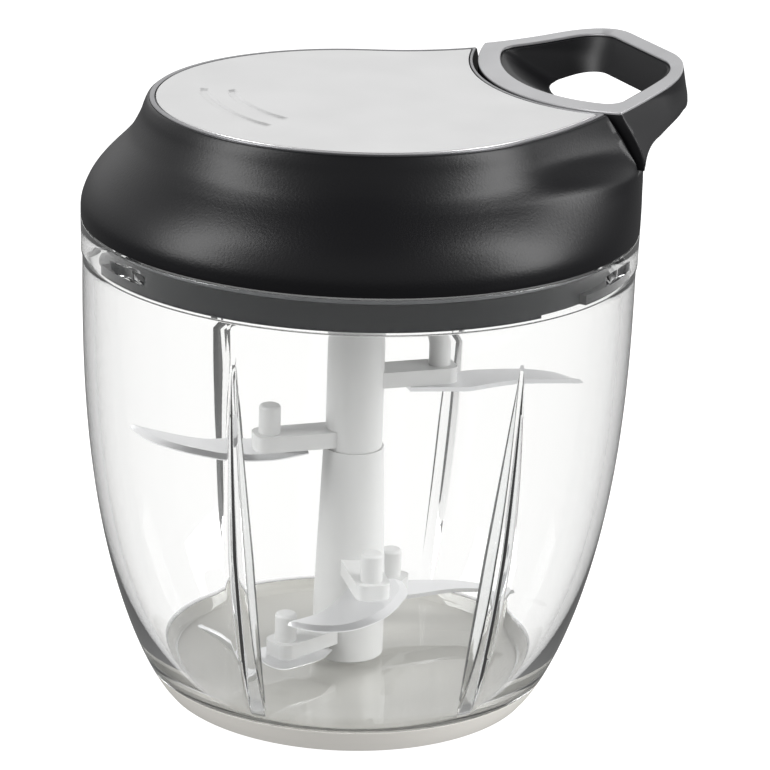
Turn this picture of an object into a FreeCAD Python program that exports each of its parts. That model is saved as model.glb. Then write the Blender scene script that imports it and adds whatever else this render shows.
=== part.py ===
import FreeCAD, Part
import math
import os

# Pull-cord food chopper. Millimetres, +Z up, origin on the jar's axis at the underside of the
# foot, +X towards the pull handle. Pulling the handle unwinds the cord from a sprung spool in
# the lid, and two pawls on the spool turn the bladed shaft counter-clockwise seen from above.

V = FreeCAD.Vector
UP = V(0, 0, 1)
ORIGIN = V(0, 0, 0)

# ---- clearances
running_gap = 0.08          # radial, shaft in its bearing
seat_gap = 0.05             # between fixed pieces that are pushed together
part_gap = 0.3              # between pieces of different bodies
cut_reach = 90.0            # cutting bodies run this far past the axis, clear of every face
cut_height = 40.0           # and this far above the lid's top

# ---- foot cap and jar
foot_height = 6.0
foot_floor = 1.8
foot_wall = 1.6
foot_radius = 41.5          # outside, at the table
jar_radius = 60.8           # outside, just under the rim
jar_height = 101.75         # table to the underside of the rim
jar_wall = 2.6
jar_floor = 3.2
jar_base_thickening = 3.0   # extra wall at the foot of the bowl
rim_height = 7.45
rim_top = jar_height + rim_height
rim_step = 0.3
rim_flare = 0.45            # the rim stands out this far from the bowl at the lid seam
rim_wall = 2.05
rim_radius = jar_radius + rim_flare
rim_bore_radius = rim_radius - rim_wall
rim_ledge_drop = 0.75       # the ledge inside lies this far under the rim
fin_top = jar_height - 11.05
fin_foot_radius = foot_radius + 0.5
fin_thickness = 3.3
fin_mid_azimuth = -109.0
fin_half_angle = 30.5
lug_azimuth = -47.5
lug_count = 3
lug_half_angle = 3.9
lug_height = 2.4
lug_base = 2.45             # above the underside of the rim
lug_depth = 1.5
pivot_radius = 2.5
pivot_height = 10.0
pivot_seat = 2.0

# ---- bladed shaft
shaft_foot_gap = 0.6
shaft_foot_radius = 8.1
shaft_top_radius = 6.8
shaft_taper_start = 20.0
shaft_split = 56.4          # joint between lower and upper shaft
upper_shaft_radius = 6.4
spigot_flats = 8.0
spigot_height = 8.0
arm_width = 7.7
arm_height = 3.6
arm_reach = 23.3
arm_nose_radius = 2.4
peg_radius = 2.45
peg_height = 6.6
peg_offset = 19.7
stub_radius = 1.8
blade_thickness = 1.0
blade_bevel = 1.9
blade_bend_start = 14.0     # from the rivet stub
# cutting edge and back of the blades from their root to their tip, about the rivet stub
long_edge = ((-8.2, 3.6), (0.8, 5.9), (7.0, 5.0), (14.0, 1.5), (20.0, -2.8), (24.8, -8.5), (28.0, -18.4))
long_back = ((28.0, -18.4), (23.0, -14.6), (15.1, -9.6), (5.0, -7.2), (-8.2, -4.3))
short_edge = ((-11.0, 6.4), (-1.5, 8.2), (7.2, 6.2), (14.0, 2.2), (18.6, -5.0), (18.2, -12.7))
short_back = ((18.2, -12.7), (14.6, -7.6), (8.2, -4.8), (1.7, -4.2), (-9.0, -2.0))
# name, arm azimuth, underside of the arm, outline, turn of the blade on its stub, scale, lift at the tip
upper_blades = [
    ("blade_upper_right", -6.2, shaft_split + 14.1, (long_edge, long_back), 0.0, 1.0, 3.0),
    ("blade_upper_left", -186.2, shaft_split + 0.9, (long_edge, long_back), 0.0, 1.0, 0.0),
]
lower_blades = [
    ("blade_lower_front", -100.0, 28.0, (short_edge, short_back), -25.0, 1.0, 0.0),
    ("blade_lower_back", 36.8, 14.8, (long_edge, long_back), -25.0, 0.85, 0.0),
    ("blade_lower_left", -159.0, 10.8, (short_edge, short_back), -10.0, 1.0, 0.0),
]

# ---- drive hub and its ratchet
hub_foot = jar_height + 0.05
socket_flats = 10.0
socket_gap = 0.15
socket_depth = 8.2
hub_boss_radius = 10.1
hub_web_base = hub_foot + 11.2
hub_web = 2.6
hub_radius = 22.6
hub_wall = 2.2
hub_top = hub_foot + 18.6
ratchet_teeth = 12
tooth_depth = 2.0
screw_well_radius = 5.6
screw_well_height = 2.8

# ---- spool, pawls, spring and axle
axle_radius = 3.0
axle_foot = hub_web_base - 0.4
spool_gap = 0.6             # between the hub's cup and the spool
spool_base = hub_top + spool_gap
spool_web = 2.0
spool_height = 10.0
drum_radius = 14.0
drum_wall = 1.8
flange_radius = 21.5
flange_thickness = 1.5
flange_lift = 1.0
sleeve_radius = 5.0
sleeve_height = 3.5
winding_radius = 19.0
pawl_pivot_offset = 15.0
pawl_pin_radius = 1.5
pawl_eye_radius = 2.7
pawl_height = 3.6
pawl_base = hub_web_base + hub_web + 0.9
pawl_tip_azimuth = 38.0
pawl_tip_radius = 19.4
pawl_nose_radius = 0.7
spring_strip = 0.5
spring_turns = 5
spring_width = 5.0
spring_base = spool_base + 3.8
cover_thickness = 0.8
cover_lip = 0.9
cover_radius = 18.6
cover_bore_radius = 5.8
washer_radius = 6.0
washer_thickness = 0.6

# ---- lid
seam_gap = 0.3
lid_wall = 2.2
seam = rim_top + seam_gap
lid_height = 26.36          # seam to the level part of the top
lid_top = seam + lid_height
axle_top = lid_top - 1.76
top_rise_start = 21.9       # the top curves up from here towards the handle
top_rise_radius = 156.0
plate_thickness = 0.9
trim_thickness = 1.2
ceiling_thickness = 2.0
rim_lip_drop = 0.35         # the black edge round the trim lies this far under it
trim_inset = 0.5
trim_width = 1.1
groove_width = 0.3
shoulder_azimuth = 66.4     # where the round back of the lid runs into its straight cheeks
corner_azimuth = 37.2
# the lid's profile, drawn for a lid of the profile height: height over the seam, and how far the
# back and the corners beside the handle lie in from the rim
profile_height = 26.36
lid_profile = (
    (0.0, 0.0, 0.0), (3.5, 0.15, -0.05), (6.2, 1.05, -0.05), (8.5, 2.25, 0.0), (10.8, 3.95, 0.0),
    (13.1, 6.05, 0.05), (15.4, 8.35, 0.05), (17.7, 10.35, 0.45), (19.9, 11.65, 1.45), (22.2, 12.75, 3.05),
    (24.5, 13.55, 5.15), (26.5, 14.45, 7.05), (29.0, 15.25, 8.95),
)
lid_stations = [(height * (lid_height / profile_height), rim_radius - back, rim_radius - corner)
                for height, back, corner in lid_profile]
outline_points = 48
dock_face = flange_radius + 10.5    # the handle docks against a round wall here on +X
dock_radius = 54.8
dock_centre = dock_face + dock_radius
dock_floor = seam + 15.5
dock_wall = 2.2
plate_end_gap = 1.0
boss_circle = rim_bore_radius - 14.2
boss_radius = 3.6
boss_top = dock_floor + 3.8
boss_azimuths = (70.0, 145.0, 215.0, 290.0)
axle_boss_radius = 5.2
axle_boss_drop = 1.8
screw_radius = 1.5
screw_head_radius = 2.9
screw_head = 1.9
screw_length = 13.0
cord_radius = 1.1
cord_level = spool_base + 7.3
eyelet_radius = 2.9
eyelet_flange_radius = 4.1
eyelet_flange = 1.4
eyelet_mouth_radius = 3.2
cord_bend_radius = 4.0

# ---- lid skirt (the lid's lower half, it plugs into the jar's rim)
skirt_radius = rim_bore_radius - 0.5
skirt_wall = 3.0
skirt_foot = jar_height
skirt_top = seam + 1.3
skirt_plate_base = jar_height + 0.75
skirt_plate = 2.5
bearing_wall = 2.8
bearing_height = 5.0
channel_depth = 1.6
channel_play = 0.35
bayonet_turn = 20.0
entry_half_angle = 6.8
seal_width = 1.6
seal_height = 1.6
seal_base = jar_height + 5.85

# ---- pull handle
handle_gap = 1.15           # between the dock's round wall and the handle
handle_corner = V(dock_centre - 43.05, rim_radius - 27.6, 0)
handle_end = rim_radius + 9.55
handle_side_slope = 27.6    # degrees between the handle's sides and +X
handle_corner_radius = 11.0
handle_flare = 0.2
handle_flare_limit = 1.3
flare_run = 34.0            # from the corner to where the end's draft takes over
# the handle's underside, from its heel in the dock to the lip at its end: x, height
underside_points = (
    (dock_face + 17.2, dock_floor + part_gap), (dock_face + 19.0, lid_top - 6.66),
    (dock_face + 23.5, lid_top - 4.66), (handle_end - 5.2, lid_top - 1.46),
    (handle_end - 0.9, lid_top - 0.56), (handle_end + 2.0, lid_top + 2.74),
)
frame_thickness = 1.2
rail_width = 2.9
end_width = 3.4
inner_rail = 4.8
opening_corner_radius = 3.5
opening_end_radius = 6.5
opening_foot = dock_floor - 1.0
opening_top = lid_top + 14.14
opening_side_level = lid_top + 3.14     # the sides' draft starts here
# the opening's edge towards the lid: a scoop from the top down to its lip, then straight down
scoop_top = lid_top + 1.14
scoop_lip = (dock_face + 17.6, lid_top - 4.66)
opening_side_draft = 0.6
opening_end_draft = 0.28
anchor_radius = 2.2
anchor_length = 4.5


# ------------------------------------------------------------------ plain helpers
def cylinder(radius, low, high, x=0.0, y=0.0):
    return Part.makeCylinder(radius, high - low, V(x, y, low))


def polygon(points):
    return Part.makePolygon([V(*p) for p in points] + [V(*points[0])])


def turned(points):
    """Solid of revolution about Z of a closed (radius, height) outline."""
    face = Part.Face(polygon([(r, 0, z) for r, z in points]))
    return face.revolve(ORIGIN, UP, 360)


def turned_edges(edges):
    """Solid of revolution about Z of a closed loop of edges in the XZ plane."""
    return Part.Face(Part.Wire(edges)).revolve(ORIGIN, UP, 360)


def line(a, b):
    return Part.LineSegment(a, b).toShape()


def curve(points):
    spline = Part.BSplineCurve()
    spline.interpolate(points)
    return spline.toShape()


def sector(inner, outer, low, high, start, end):
    """Part of a ring between two azimuths in degrees."""
    face = Part.Face(polygon([(inner, 0, low), (outer, 0, low), (outer, 0, high), (inner, 0, high)]))
    ring = face.revolve(ORIGIN, UP, end - start)
    ring.rotate(ORIGIN, UP, start)
    return ring


def hexagon(flats, low, high):
    corner = flats / math.sqrt(3)
    points = [(corner * math.cos(math.radians(60 * k)), corner * math.sin(math.radians(60 * k)), low)
              for k in range(6)]
    return Part.Face(polygon(points)).extrude(V(0, 0, high - low))


def at_azimuth(shape, azimuth):
    turned_shape = shape.copy()
    turned_shape.rotate(ORIGIN, UP, azimuth)
    return turned_shape


def on_dock(reach, radius):
    """Point at that reach from the jar's axis on a circle about the dock's centre, on the +Y side."""
    x = (reach ** 2 + dock_centre ** 2 - radius ** 2) / (2 * dock_centre)
    return V(x, math.sqrt(reach ** 2 - x ** 2), 0)


def blend(a, b, t):
    t = min(max(t, 0.0), 1.0)
    t = t * t * (3 - 2 * t)
    return a + (b - a) * t


# ------------------------------------------------------------------ jar and foot
rim_base = jar_height
inner_floor = foot_floor + jar_floor


def jar_outer(z):
    """Outside radius of the bowl: steep at the foot, nearly upright under the rim."""
    t = min(max(z / jar_height, 0.0), 1.0)
    return foot_radius + (jar_radius - foot_radius) * (1 - (1 - t) ** 2.6) ** 0.8


def jar_inner(z):
    """Inside radius of the bowl, with a thicker wall towards the foot."""
    return jar_outer(z) - jar_wall - jar_base_thickening * (1 - z / jar_height) ** 8


def bowl_curve(radius_at, low, high, count, inset=0.0):
    """Curve in the XZ plane along radius_at, with its points closer together at the foot."""
    points = []
    for k in range(count):
        z = low + (high - low) * (k / (count - 1)) ** 1.6
        points.append(V(radius_at(z) - inset, 0, z))
    return points


def make_foot_cap():
    outside = bowl_curve(jar_outer, 0.0, foot_height, 5)
    inside = bowl_curve(jar_outer, foot_floor, foot_height, 4, foot_wall)
    edges = [line(ORIGIN, outside[0]), curve(outside), line(outside[-1], inside[-1]), curve(inside),
             line(inside[0], V(0, 0, foot_floor)), line(V(0, 0, foot_floor), ORIGIN)]
    return turned_edges(edges)


def bowl_envelope():
    """The jar's outside, filled."""
    in_cap = bowl_curve(jar_outer, foot_floor + seat_gap, foot_height + seat_gap, 4, foot_wall + seat_gap)
    outside = bowl_curve(jar_outer, foot_height + seat_gap, rim_base, 10)
    step = V(jar_radius + rim_step, 0, rim_base)
    lip = V(rim_radius, 0, rim_top)
    low = V(0, 0, foot_floor + seat_gap)
    edges = [line(low, in_cap[0]), curve(in_cap), line(in_cap[-1], outside[0]), curve(outside),
             line(outside[-1], step), line(step, lip), line(lip, V(0, 0, rim_top)),
             line(V(0, 0, rim_top), low)]
    return turned_edges(edges)


def bowl_hollow():
    """The space inside the jar, up through the wider bore of its rim."""
    ledge = rim_base - rim_ledge_drop
    wall = bowl_curve(jar_inner, inner_floor, ledge, 10)
    above = rim_top + 1
    edges = [line(V(0, 0, inner_floor), wall[0]), curve(wall), line(wall[-1], V(rim_bore_radius, 0, ledge)),
             line(V(rim_bore_radius, 0, ledge), V(rim_bore_radius, 0, above)),
             line(V(rim_bore_radius, 0, above), V(0, 0, above)),
             line(V(0, 0, above), V(0, 0, inner_floor))]
    return turned_edges(edges)


def make_fin(envelope):
    """Fin on the inside of the bowl: its crest is a straight chord of the curved wall, and it
    narrows to a point at the top."""
    crest_top = jar_inner(fin_top)
    outside = jar_radius + 2
    blade = Part.Face(polygon([
        (crest_top, 0, fin_top), (fin_foot_radius, 0, inner_floor), (fin_foot_radius, 0, inner_floor - 1),
        (outside, 0, inner_floor - 1), (outside, 0, fin_top)]))
    half = fin_thickness / 2
    web = blade.extrude(V(0, fin_thickness, 0))
    web.translate(V(0, -half, 0))
    full_below = fin_top * 0.52
    taper = Part.Face(polygon([
        (0, -half, inner_floor - 1), (0, half, inner_floor - 1), (0, half, full_below),
        (0, half * 0.12, fin_top), (0, -half * 0.12, fin_top), (0, -half, full_below)]))
    return web.common(taper.extrude(V(outside, 0, 0))).common(envelope)


def make_jar():
    envelope = bowl_envelope()
    jar = envelope.cut(bowl_hollow())
    fin = make_fin(envelope)
    for pair in (0, 180):
        for side in (-1, 1):
            jar = jar.fuse(at_azimuth(fin, fin_mid_azimuth + side * fin_half_angle + pair))
    base = rim_base + lug_base
    for k in range(lug_count):
        azimuth = lug_azimuth + 360 / lug_count * k
        jar = jar.fuse(sector(rim_bore_radius - lug_depth, rim_bore_radius + 0.5, base, base + lug_height,
                              azimuth - lug_half_angle, azimuth + lug_half_angle))
    seat = cylinder(pivot_radius + seat_gap / 2, inner_floor - pivot_seat, inner_floor + 1)
    return jar.cut(seat).removeSplitter()


def make_floor_pivot():
    low = inner_floor - pivot_seat
    pin = cylinder(pivot_radius, low, low + pivot_height)
    top = low + pivot_height
    crown = [e for e in pin.Edges if abs(e.BoundBox.ZMin - top) < 1e-6 and e.BoundBox.DiagonalLength > 1]
    return pin.makeFillet(1.2, crown)


# ------------------------------------------------------------------ bladed shaft
def make_arm(azimuth, underside):
    """Flat arm with a round peg on top and a rivet stub below, which holds the blade."""
    half = arm_width / 2
    body = Part.makeBox(arm_reach, arm_width, arm_height, V(0, -half, underside))
    nose = [e for e in body.Edges if abs(e.CenterOfMass.x - arm_reach) < 1e-6
            and abs(e.CenterOfMass.z - underside - arm_height / 2) < 1e-6]
    body = body.makeFillet(arm_nose_radius, nose)
    peg = cylinder(peg_radius, underside, underside + arm_height + peg_height, peg_offset)
    top = underside + arm_height + peg_height
    crown = [e for e in peg.Edges if abs(e.CenterOfMass.z - top) < 1e-6]
    peg = peg.makeFillet(0.8, crown)
    stub = cylinder(stub_radius, underside - blade_thickness, underside + 1, peg_offset)
    return at_azimuth(body.fuse(peg).fuse(stub), azimuth)


def make_lower_shaft():
    low = inner_floor + shaft_foot_gap
    column = turned([(0, low), (shaft_foot_radius - 0.6, low), (shaft_foot_radius, low + 0.6),
                     (shaft_foot_radius, shaft_taper_start), (shaft_top_radius, shaft_split),
                     (0, shaft_split)])
    column = column.fuse(hexagon(spigot_flats, shaft_split - 1, shaft_split + spigot_height))
    for _, azimuth, underside, *_ in lower_blades:
        column = column.fuse(make_arm(azimuth, underside))
    bore_top = inner_floor - pivot_seat + pivot_height + shaft_foot_gap
    return column.cut(cylinder(pivot_radius + running_gap, low - 1, bore_top)).removeSplitter()


def make_upper_shaft():
    low = shaft_split + seat_gap
    socket_roof = hub_foot + socket_depth
    column = cylinder(upper_shaft_radius, low, hub_foot - seat_gap)
    column = column.fuse(hexagon(socket_flats, hub_foot - 1, socket_roof - part_gap))
    for _, azimuth, underside, *_ in upper_blades:
        column = column.fuse(make_arm(azimuth, underside))
    well = hexagon(spigot_flats + 2 * socket_gap, low - 1, shaft_split + spigot_height + part_gap)
    return column.cut(well).removeSplitter()


def blade_outline(outline, scale):
    """Scimitar outline about the rivet stub: a bowed cutting edge on the +Y side, a swept-back tip."""
    edge, back = [[V(x * scale, y * scale, 0) for x, y in side] for side in outline]
    return curve(edge), curve(back), line(back[-1], edge[0])


def make_blade(azimuth, underside, outline, turn, scale, lift):
    """Flat blade riveted under its arm; a lifted one curves up at its tip."""
    edge, back, root = blade_outline(outline, scale)
    low = underside - blade_thickness
    blade = Part.Face(Part.Wire([edge, back, root])).extrude(V(0, 0, lift + 6))
    blade.translate(V(0, 0, low - 2))
    start = blade_bend_start * scale
    reach = outline[0][-1][0] * scale
    radius = (reach - start) ** 2 / (2 * lift) if lift else 1e4
    blade = blade.common(bent_sheet(start, radius, low, blade_thickness))
    blade = blade.cut(bevel_cutter(edge, low, start, lift / (reach - start) ** 2))
    blade = blade.cut(cylinder(stub_radius + seat_gap, low - 5, low + 5))
    blade.rotate(ORIGIN, UP, turn)
    blade.translate(V(peg_offset, 0, 0))
    return at_azimuth(blade, azimuth)


def bent_sheet(start, radius, low, thickness):
    """Sheet that is flat up to x = start and then curves up about an axis along Y."""
    angle = math.asin(min(20.0 / radius, 0.9))

    def arc(r):
        centre = V(start, 0, low + radius)
        return Part.Arc(V(start, 0, low + radius - r),
                        centre + V(r * math.sin(angle / 2), 0, -r * math.cos(angle / 2)),
                        centre + V(r * math.sin(angle), 0, -r * math.cos(angle))).toShape()

    lower, upper = arc(radius), arc(radius - thickness)
    edges = [line(V(-cut_reach, 0, low), lower.Vertexes[0].Point), lower,
             line(lower.Vertexes[-1].Point, upper.Vertexes[-1].Point), upper,
             line(upper.Vertexes[0].Point, V(-cut_reach, 0, low + thickness)),
             line(V(-cut_reach, 0, low + thickness), V(-cut_reach, 0, low))]
    sheet = Part.Face(Part.Wire(Part.__sortEdges__(edges))).extrude(V(0, 2 * cut_reach, 0))
    sheet.translate(V(0, -cut_reach, 0))
    return sheet


def bevel_cutter(edge, low, start, rise):
    """Wedge swept along the cutting edge: it takes the top of the edge off at a slant."""
    first, last = edge.ParameterRange
    count = 7
    height = blade_thickness * 0.75
    sections = []
    for k in range(count):
        parameter = first + (last - first) * k / (count - 1)
        point = edge.valueAt(parameter)
        along = edge.tangentAt(parameter)
        out = V(-along.y, along.x, 0)
        z = low + blade_thickness - height
        z += rise * max(0.0, point.x - start) ** 2
        outer = point + out * 3 + V(0, 0, z - height * 3 / blade_bevel)
        inner = point - out * blade_bevel + V(0, 0, z + height)
        above = point - out * blade_bevel + V(0, 0, z + height + 6)
        beyond = point + out * 3 + V(0, 0, z + height + 6)
        sections.append(Part.makePolygon([outer, inner, above, beyond, outer]))
    return Part.makeLoft(sections, True, False)


# ------------------------------------------------------------------ drive hub, spool, pawls
def make_drive_hub():
    """Hub that carries the shaft: hexagon socket below, ratchet cup above."""
    hub = cylinder(hub_boss_radius, hub_foot, hub_web_base + 1)
    hub = hub.fuse(cylinder(hub_radius, hub_web_base, hub_top))
    cup_floor = hub_web_base + hub_web
    root = hub_radius - hub_wall
    points = []
    for k in range(ratchet_teeth):
        face_angle = pawl_tip_azimuth + 2.4 + 360 / ratchet_teeth * k
        for radius, angle in ((root - tooth_depth, face_angle), (root - 0.2, face_angle - 0.6),
                              (root - 0.2, face_angle - 6)):
            points.append((radius * math.cos(math.radians(angle)), radius * math.sin(math.radians(angle)),
                           cup_floor, angle))
    points.sort(key=lambda p: p[3])
    cup = Part.Face(polygon([p[:3] for p in points])).extrude(V(0, 0, hub_top - cup_floor + 1))
    hub = hub.cut(cup)
    hub = hub.cut(hexagon(socket_flats + 2 * socket_gap, hub_foot - 1, hub_foot + socket_depth))
    hub = hub.cut(cylinder(screw_well_radius, hub_foot + socket_depth - 0.5, hub_web_base))
    return hub.cut(cylinder(axle_radius + running_gap, hub_foot, hub_top)).removeSplitter()


def make_spool():
    """Cord spool: flanged drum, open at the top for the spring, with two pawl pins below."""
    low = spool_base
    web_top = low + spool_web
    top = low + spool_height
    lower_flange = low + flange_lift
    inner = drum_radius - drum_wall
    spool = turned([
        (axle_radius + running_gap, low), (drum_radius, low), (drum_radius, lower_flange),
        (flange_radius, lower_flange), (flange_radius, lower_flange + flange_thickness),
        (drum_radius, lower_flange + flange_thickness), (drum_radius, top - flange_thickness),
        (flange_radius, top - flange_thickness), (flange_radius, top), (inner, top), (inner, web_top),
        (sleeve_radius, web_top), (sleeve_radius, low + sleeve_height),
        (axle_radius + running_gap, low + sleeve_height)])
    for azimuth in (0, 180):
        pin = cylinder(pawl_pin_radius, pawl_base - part_gap, lower_flange + 0.5, pawl_pivot_offset)
        spool = spool.fuse(at_azimuth(pin, azimuth))
    return spool.removeSplitter()


def make_cord_winding():
    low = spool_base + flange_lift + flange_thickness + seat_gap
    high = spool_base + spool_height - flange_thickness - seat_gap
    ring = cylinder(winding_radius, low, high).cut(cylinder(drum_radius + seat_gap, low - 1, high + 1))
    rims = [e for e in ring.Edges if e.Length > 2 * math.pi * winding_radius * 0.99]
    return ring.makeFillet(cord_radius * 0.9, rims)


def make_pawl(azimuth):
    """Ratchet pawl: an eye round its pin and a slim arm to a nose behind a ratchet tooth."""
    pivot = V(pawl_pivot_offset, 0, pawl_base)
    angle = math.radians(pawl_tip_azimuth)
    tip = V(pawl_tip_radius * math.cos(angle), pawl_tip_radius * math.sin(angle), pawl_base)
    along = (tip - pivot).normalize()
    across = V(-along.y, along.x, 0)
    nose = tip - along * pawl_nose_radius
    arm = Part.Face(Part.makePolygon([
        pivot + across * pawl_eye_radius * 0.8, nose + across * pawl_nose_radius,
        nose - across * pawl_nose_radius, pivot - across * pawl_eye_radius * 0.8,
        pivot + across * pawl_eye_radius * 0.8])).extrude(V(0, 0, pawl_height))
    pawl = arm.fuse(cylinder(pawl_eye_radius, pawl_base, pawl_base + pawl_height, pivot.x, pivot.y))
    pawl = pawl.fuse(cylinder(pawl_nose_radius, pawl_base, pawl_base + pawl_height, nose.x, nose.y))
    pawl = pawl.cut(cylinder(pawl_pin_radius + running_gap, pawl_base - 1, pawl_base + pawl_height + 1,
                             pivot.x, pivot.y))
    return at_azimuth(pawl.removeSplitter(), azimuth)


def make_recoil_spring():
    """Flat spiral spring between the axle and the drum, in half turns about two centres."""
    inner = axle_radius + seat_gap
    outer = drum_radius - drum_wall - part_gap - spring_strip
    halves = 2 * spring_turns
    step = (outer - inner) / halves

    def spiral(offset):
        edges = []
        for k in range(halves):
            radius = inner + offset + step * (k + 0.5)
            centre = V(step / 2 if k % 2 else -step / 2, 0, spring_base)
            side = -1 if k % 2 else 1
            edges.append(Part.Arc(centre + V(side * radius, 0, 0), centre + V(0, side * radius, 0),
                                  centre - V(side * radius, 0, 0)).toShape())
        return edges

    inside, outside = spiral(0.0), spiral(spring_strip)
    ends = [line(inside[0].valueAt(inside[0].FirstParameter), outside[0].valueAt(outside[0].FirstParameter)),
            line(inside[-1].valueAt(inside[-1].LastParameter),
                 outside[-1].valueAt(outside[-1].LastParameter))]
    loop = Part.Wire(Part.__sortEdges__(inside + outside + ends))
    return Part.Face(loop).extrude(V(0, 0, spring_width))


def make_spring_cover():
    low = spool_base + spool_height
    lip = drum_radius - drum_wall - seat_gap
    return turned([(cover_bore_radius, low + cover_thickness), (cover_bore_radius, low + seat_gap / 2),
                   (lip - 1, low + seat_gap / 2), (lip - 1, low - cover_lip), (lip, low - cover_lip),
                   (lip, low + seat_gap / 2), (cover_radius, low + seat_gap / 2),
                   (cover_radius, low + cover_thickness)])


def make_axle():
    return cylinder(axle_radius, axle_foot, axle_top)


def make_axle_screw():
    """Pan-head screw with its washer, which hold the hub on the axle."""
    head = cylinder(screw_well_radius - part_gap, axle_foot - 1.2, axle_foot - seat_gap / 2)
    dome = cylinder(screw_head_radius, axle_foot - 2.6, axle_foot - 1.2)
    return head.fuse(dome).removeSplitter()


def make_spool_washer():
    high = spool_base - part_gap
    low = high - washer_thickness
    return cylinder(washer_radius, low, high).cut(cylinder(axle_radius + seat_gap, low - 1, high + 1))


# ------------------------------------------------------------------ lid
def station_radii(z):
    """Back and corner radius of the lid at a height, between its stations."""
    height = z - seam
    for (h0, a0, b0), (h1, a1, b1) in zip(lid_stations, lid_stations[1:]):
        if height <= h1 or h1 == lid_stations[-1][0]:
            t = (height - h0) / (h1 - h0)
            return a0 + (a1 - a0) * t, b0 + (b1 - b0) * t


def cheek_weight(azimuth, height):
    """How far the lid's outline has moved from its back radius to its corner radius."""
    azimuth = abs(azimuth)
    low = 0.5 * (1 + math.cos(math.pi * min(max((azimuth - 36) / 45, 0), 1)))
    span = math.radians(max(shoulder_azimuth - max(azimuth, 25), 0))
    full = math.radians(shoulder_azimuth - corner_azimuth)
    high = (1 / math.cos(span) - 1) / (1 / math.cos(full) - 1)
    return blend(low, high, (height - dock_floor + seam) / 6.0)


def lid_wire(z, back, corner, inset=0.0):
    """Closed outline of the lid at one height."""
    height = z - seam
    points = []
    for k in range(outline_points):
        azimuth = -180 + 360 * k / outline_points
        radius = back + (corner - back) * cheek_weight(azimuth, height) - inset
        angle = math.radians(azimuth)
        points.append(V(radius * math.cos(angle), radius * math.sin(angle), z))
    spline = Part.BSplineCurve()
    spline.interpolate(Points=points, PeriodicFlag=True)
    return Part.Wire([spline.toShape()])


def lid_loft(inset=0.0):
    """The lid's outside, or its hollow when inset, carried on a little below the seam."""
    wires = [lid_wire(seam - 1.5, rim_radius, rim_radius, inset)]
    wires += [lid_wire(seam + h, a, b, inset) for h, a, b in lid_stations]
    return Part.makeLoft(wires, True, False)


def top_height(x):
    """Height of the lid's and handle's top surface at a distance along +X."""
    run = max(x - top_rise_start, 0.0)
    return lid_top + top_rise_radius - math.sqrt(top_rise_radius ** 2 - run ** 2)


def top_slab(upper, lower):
    """Layer that follows the top surface, between two depths under it."""
    far_angle = math.asin((100.0 - top_rise_start) / top_rise_radius)
    centre = V(top_rise_start, 0, lid_top + top_rise_radius)

    def arc(depth):
        r = top_rise_radius + depth
        return Part.Arc(centre + V(0, 0, -r),
                        centre + V(r * math.sin(far_angle / 2), 0, -r * math.cos(far_angle / 2)),
                        centre + V(r * math.sin(far_angle), 0, -r * math.cos(far_angle))).toShape()

    high, low = arc(upper), arc(lower)
    start_high, start_low = V(-cut_reach, 0, lid_top - upper), V(-cut_reach, 0, lid_top - lower)
    edges = [line(start_high, V(top_rise_start, 0, lid_top - upper)), high,
             line(high.Vertexes[-1].Point, low.Vertexes[-1].Point), low,
             line(V(top_rise_start, 0, lid_top - lower), start_low), line(start_low, start_high)]
    slab = Part.Face(Part.Wire(Part.__sortEdges__(edges))).extrude(V(0, 2 * cut_reach, 0))
    slab.translate(V(0, -cut_reach, 0))
    return slab


def dock_cylinder(radius, low=None, high=None):
    low = dock_floor if low is None else low
    high = lid_top + 30 if high is None else high
    return cylinder(radius, low, high, dock_centre)


def top_prism(inset, end_radius):
    """Upright prism over the lid's top outline, ended by a round cut towards the handle."""
    _, a, b = lid_stations[-2]
    foot = seam + lid_stations[-2][0]
    wire = lid_wire(foot, a, b, inset)
    wire.translate(V(0, 0, -6))
    return Part.Face(wire).extrude(V(0, 0, 16)).cut(dock_cylinder(end_radius, foot - 10))


def make_top_trim():
    outer = top_prism(trim_inset, dock_radius + 0.1)
    inner = top_prism(trim_inset + trim_width, dock_radius + plate_end_gap - groove_width)
    return outer.cut(inner).common(top_slab(0, trim_thickness))


def make_top_plate():
    blank = top_prism(trim_inset + trim_width + groove_width, dock_radius + plate_end_gap)
    return blank.common(top_slab(0, plate_thickness))


def make_lid_housing():
    ceiling = trim_thickness + ceiling_thickness
    outside = lid_loft().cut(top_slab(-cut_height, rim_lip_drop)).cut(dock_cylinder(dock_radius))
    outside = outside.cut(cylinder(rim_radius + 5, seam - 5, seam))
    pocket = top_prism(trim_inset - seat_gap, dock_radius - 1).common(top_slab(-cut_height, trim_thickness))
    outside = outside.cut(pocket)
    hollow = lid_loft(lid_wall).cut(top_slab(-cut_height, ceiling))
    hollow = hollow.cut(dock_cylinder(dock_radius + dock_wall, dock_floor - dock_wall))
    housing = outside.cut(hollow)
    plate_top = skirt_plate_base + skirt_plate + seat_gap
    pilot_top = skirt_plate_base + screw_length + 0.5
    for azimuth in boss_azimuths:
        housing = housing.fuse(at_azimuth(cylinder(boss_radius, plate_top, boss_top, boss_circle), azimuth))
        pilot = cylinder(screw_radius + seat_gap / 2, plate_top - 1, pilot_top, boss_circle)
        housing = housing.cut(at_azimuth(pilot, azimuth))
    roof = lid_top - ceiling
    axle_boss = cylinder(axle_boss_radius, roof - axle_boss_drop, roof + 0.5)
    housing = housing.fuse(axle_boss)
    housing = housing.cut(cylinder(axle_radius + seat_gap / 2, roof - 5, axle_top + seat_gap))
    port_start = V(dock_face - 8, 0, cord_level)
    port = Part.makeCylinder(eyelet_radius + seat_gap, 12, port_start, V(1, 0, 0))
    return housing.cut(port).removeSplitter()


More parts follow.
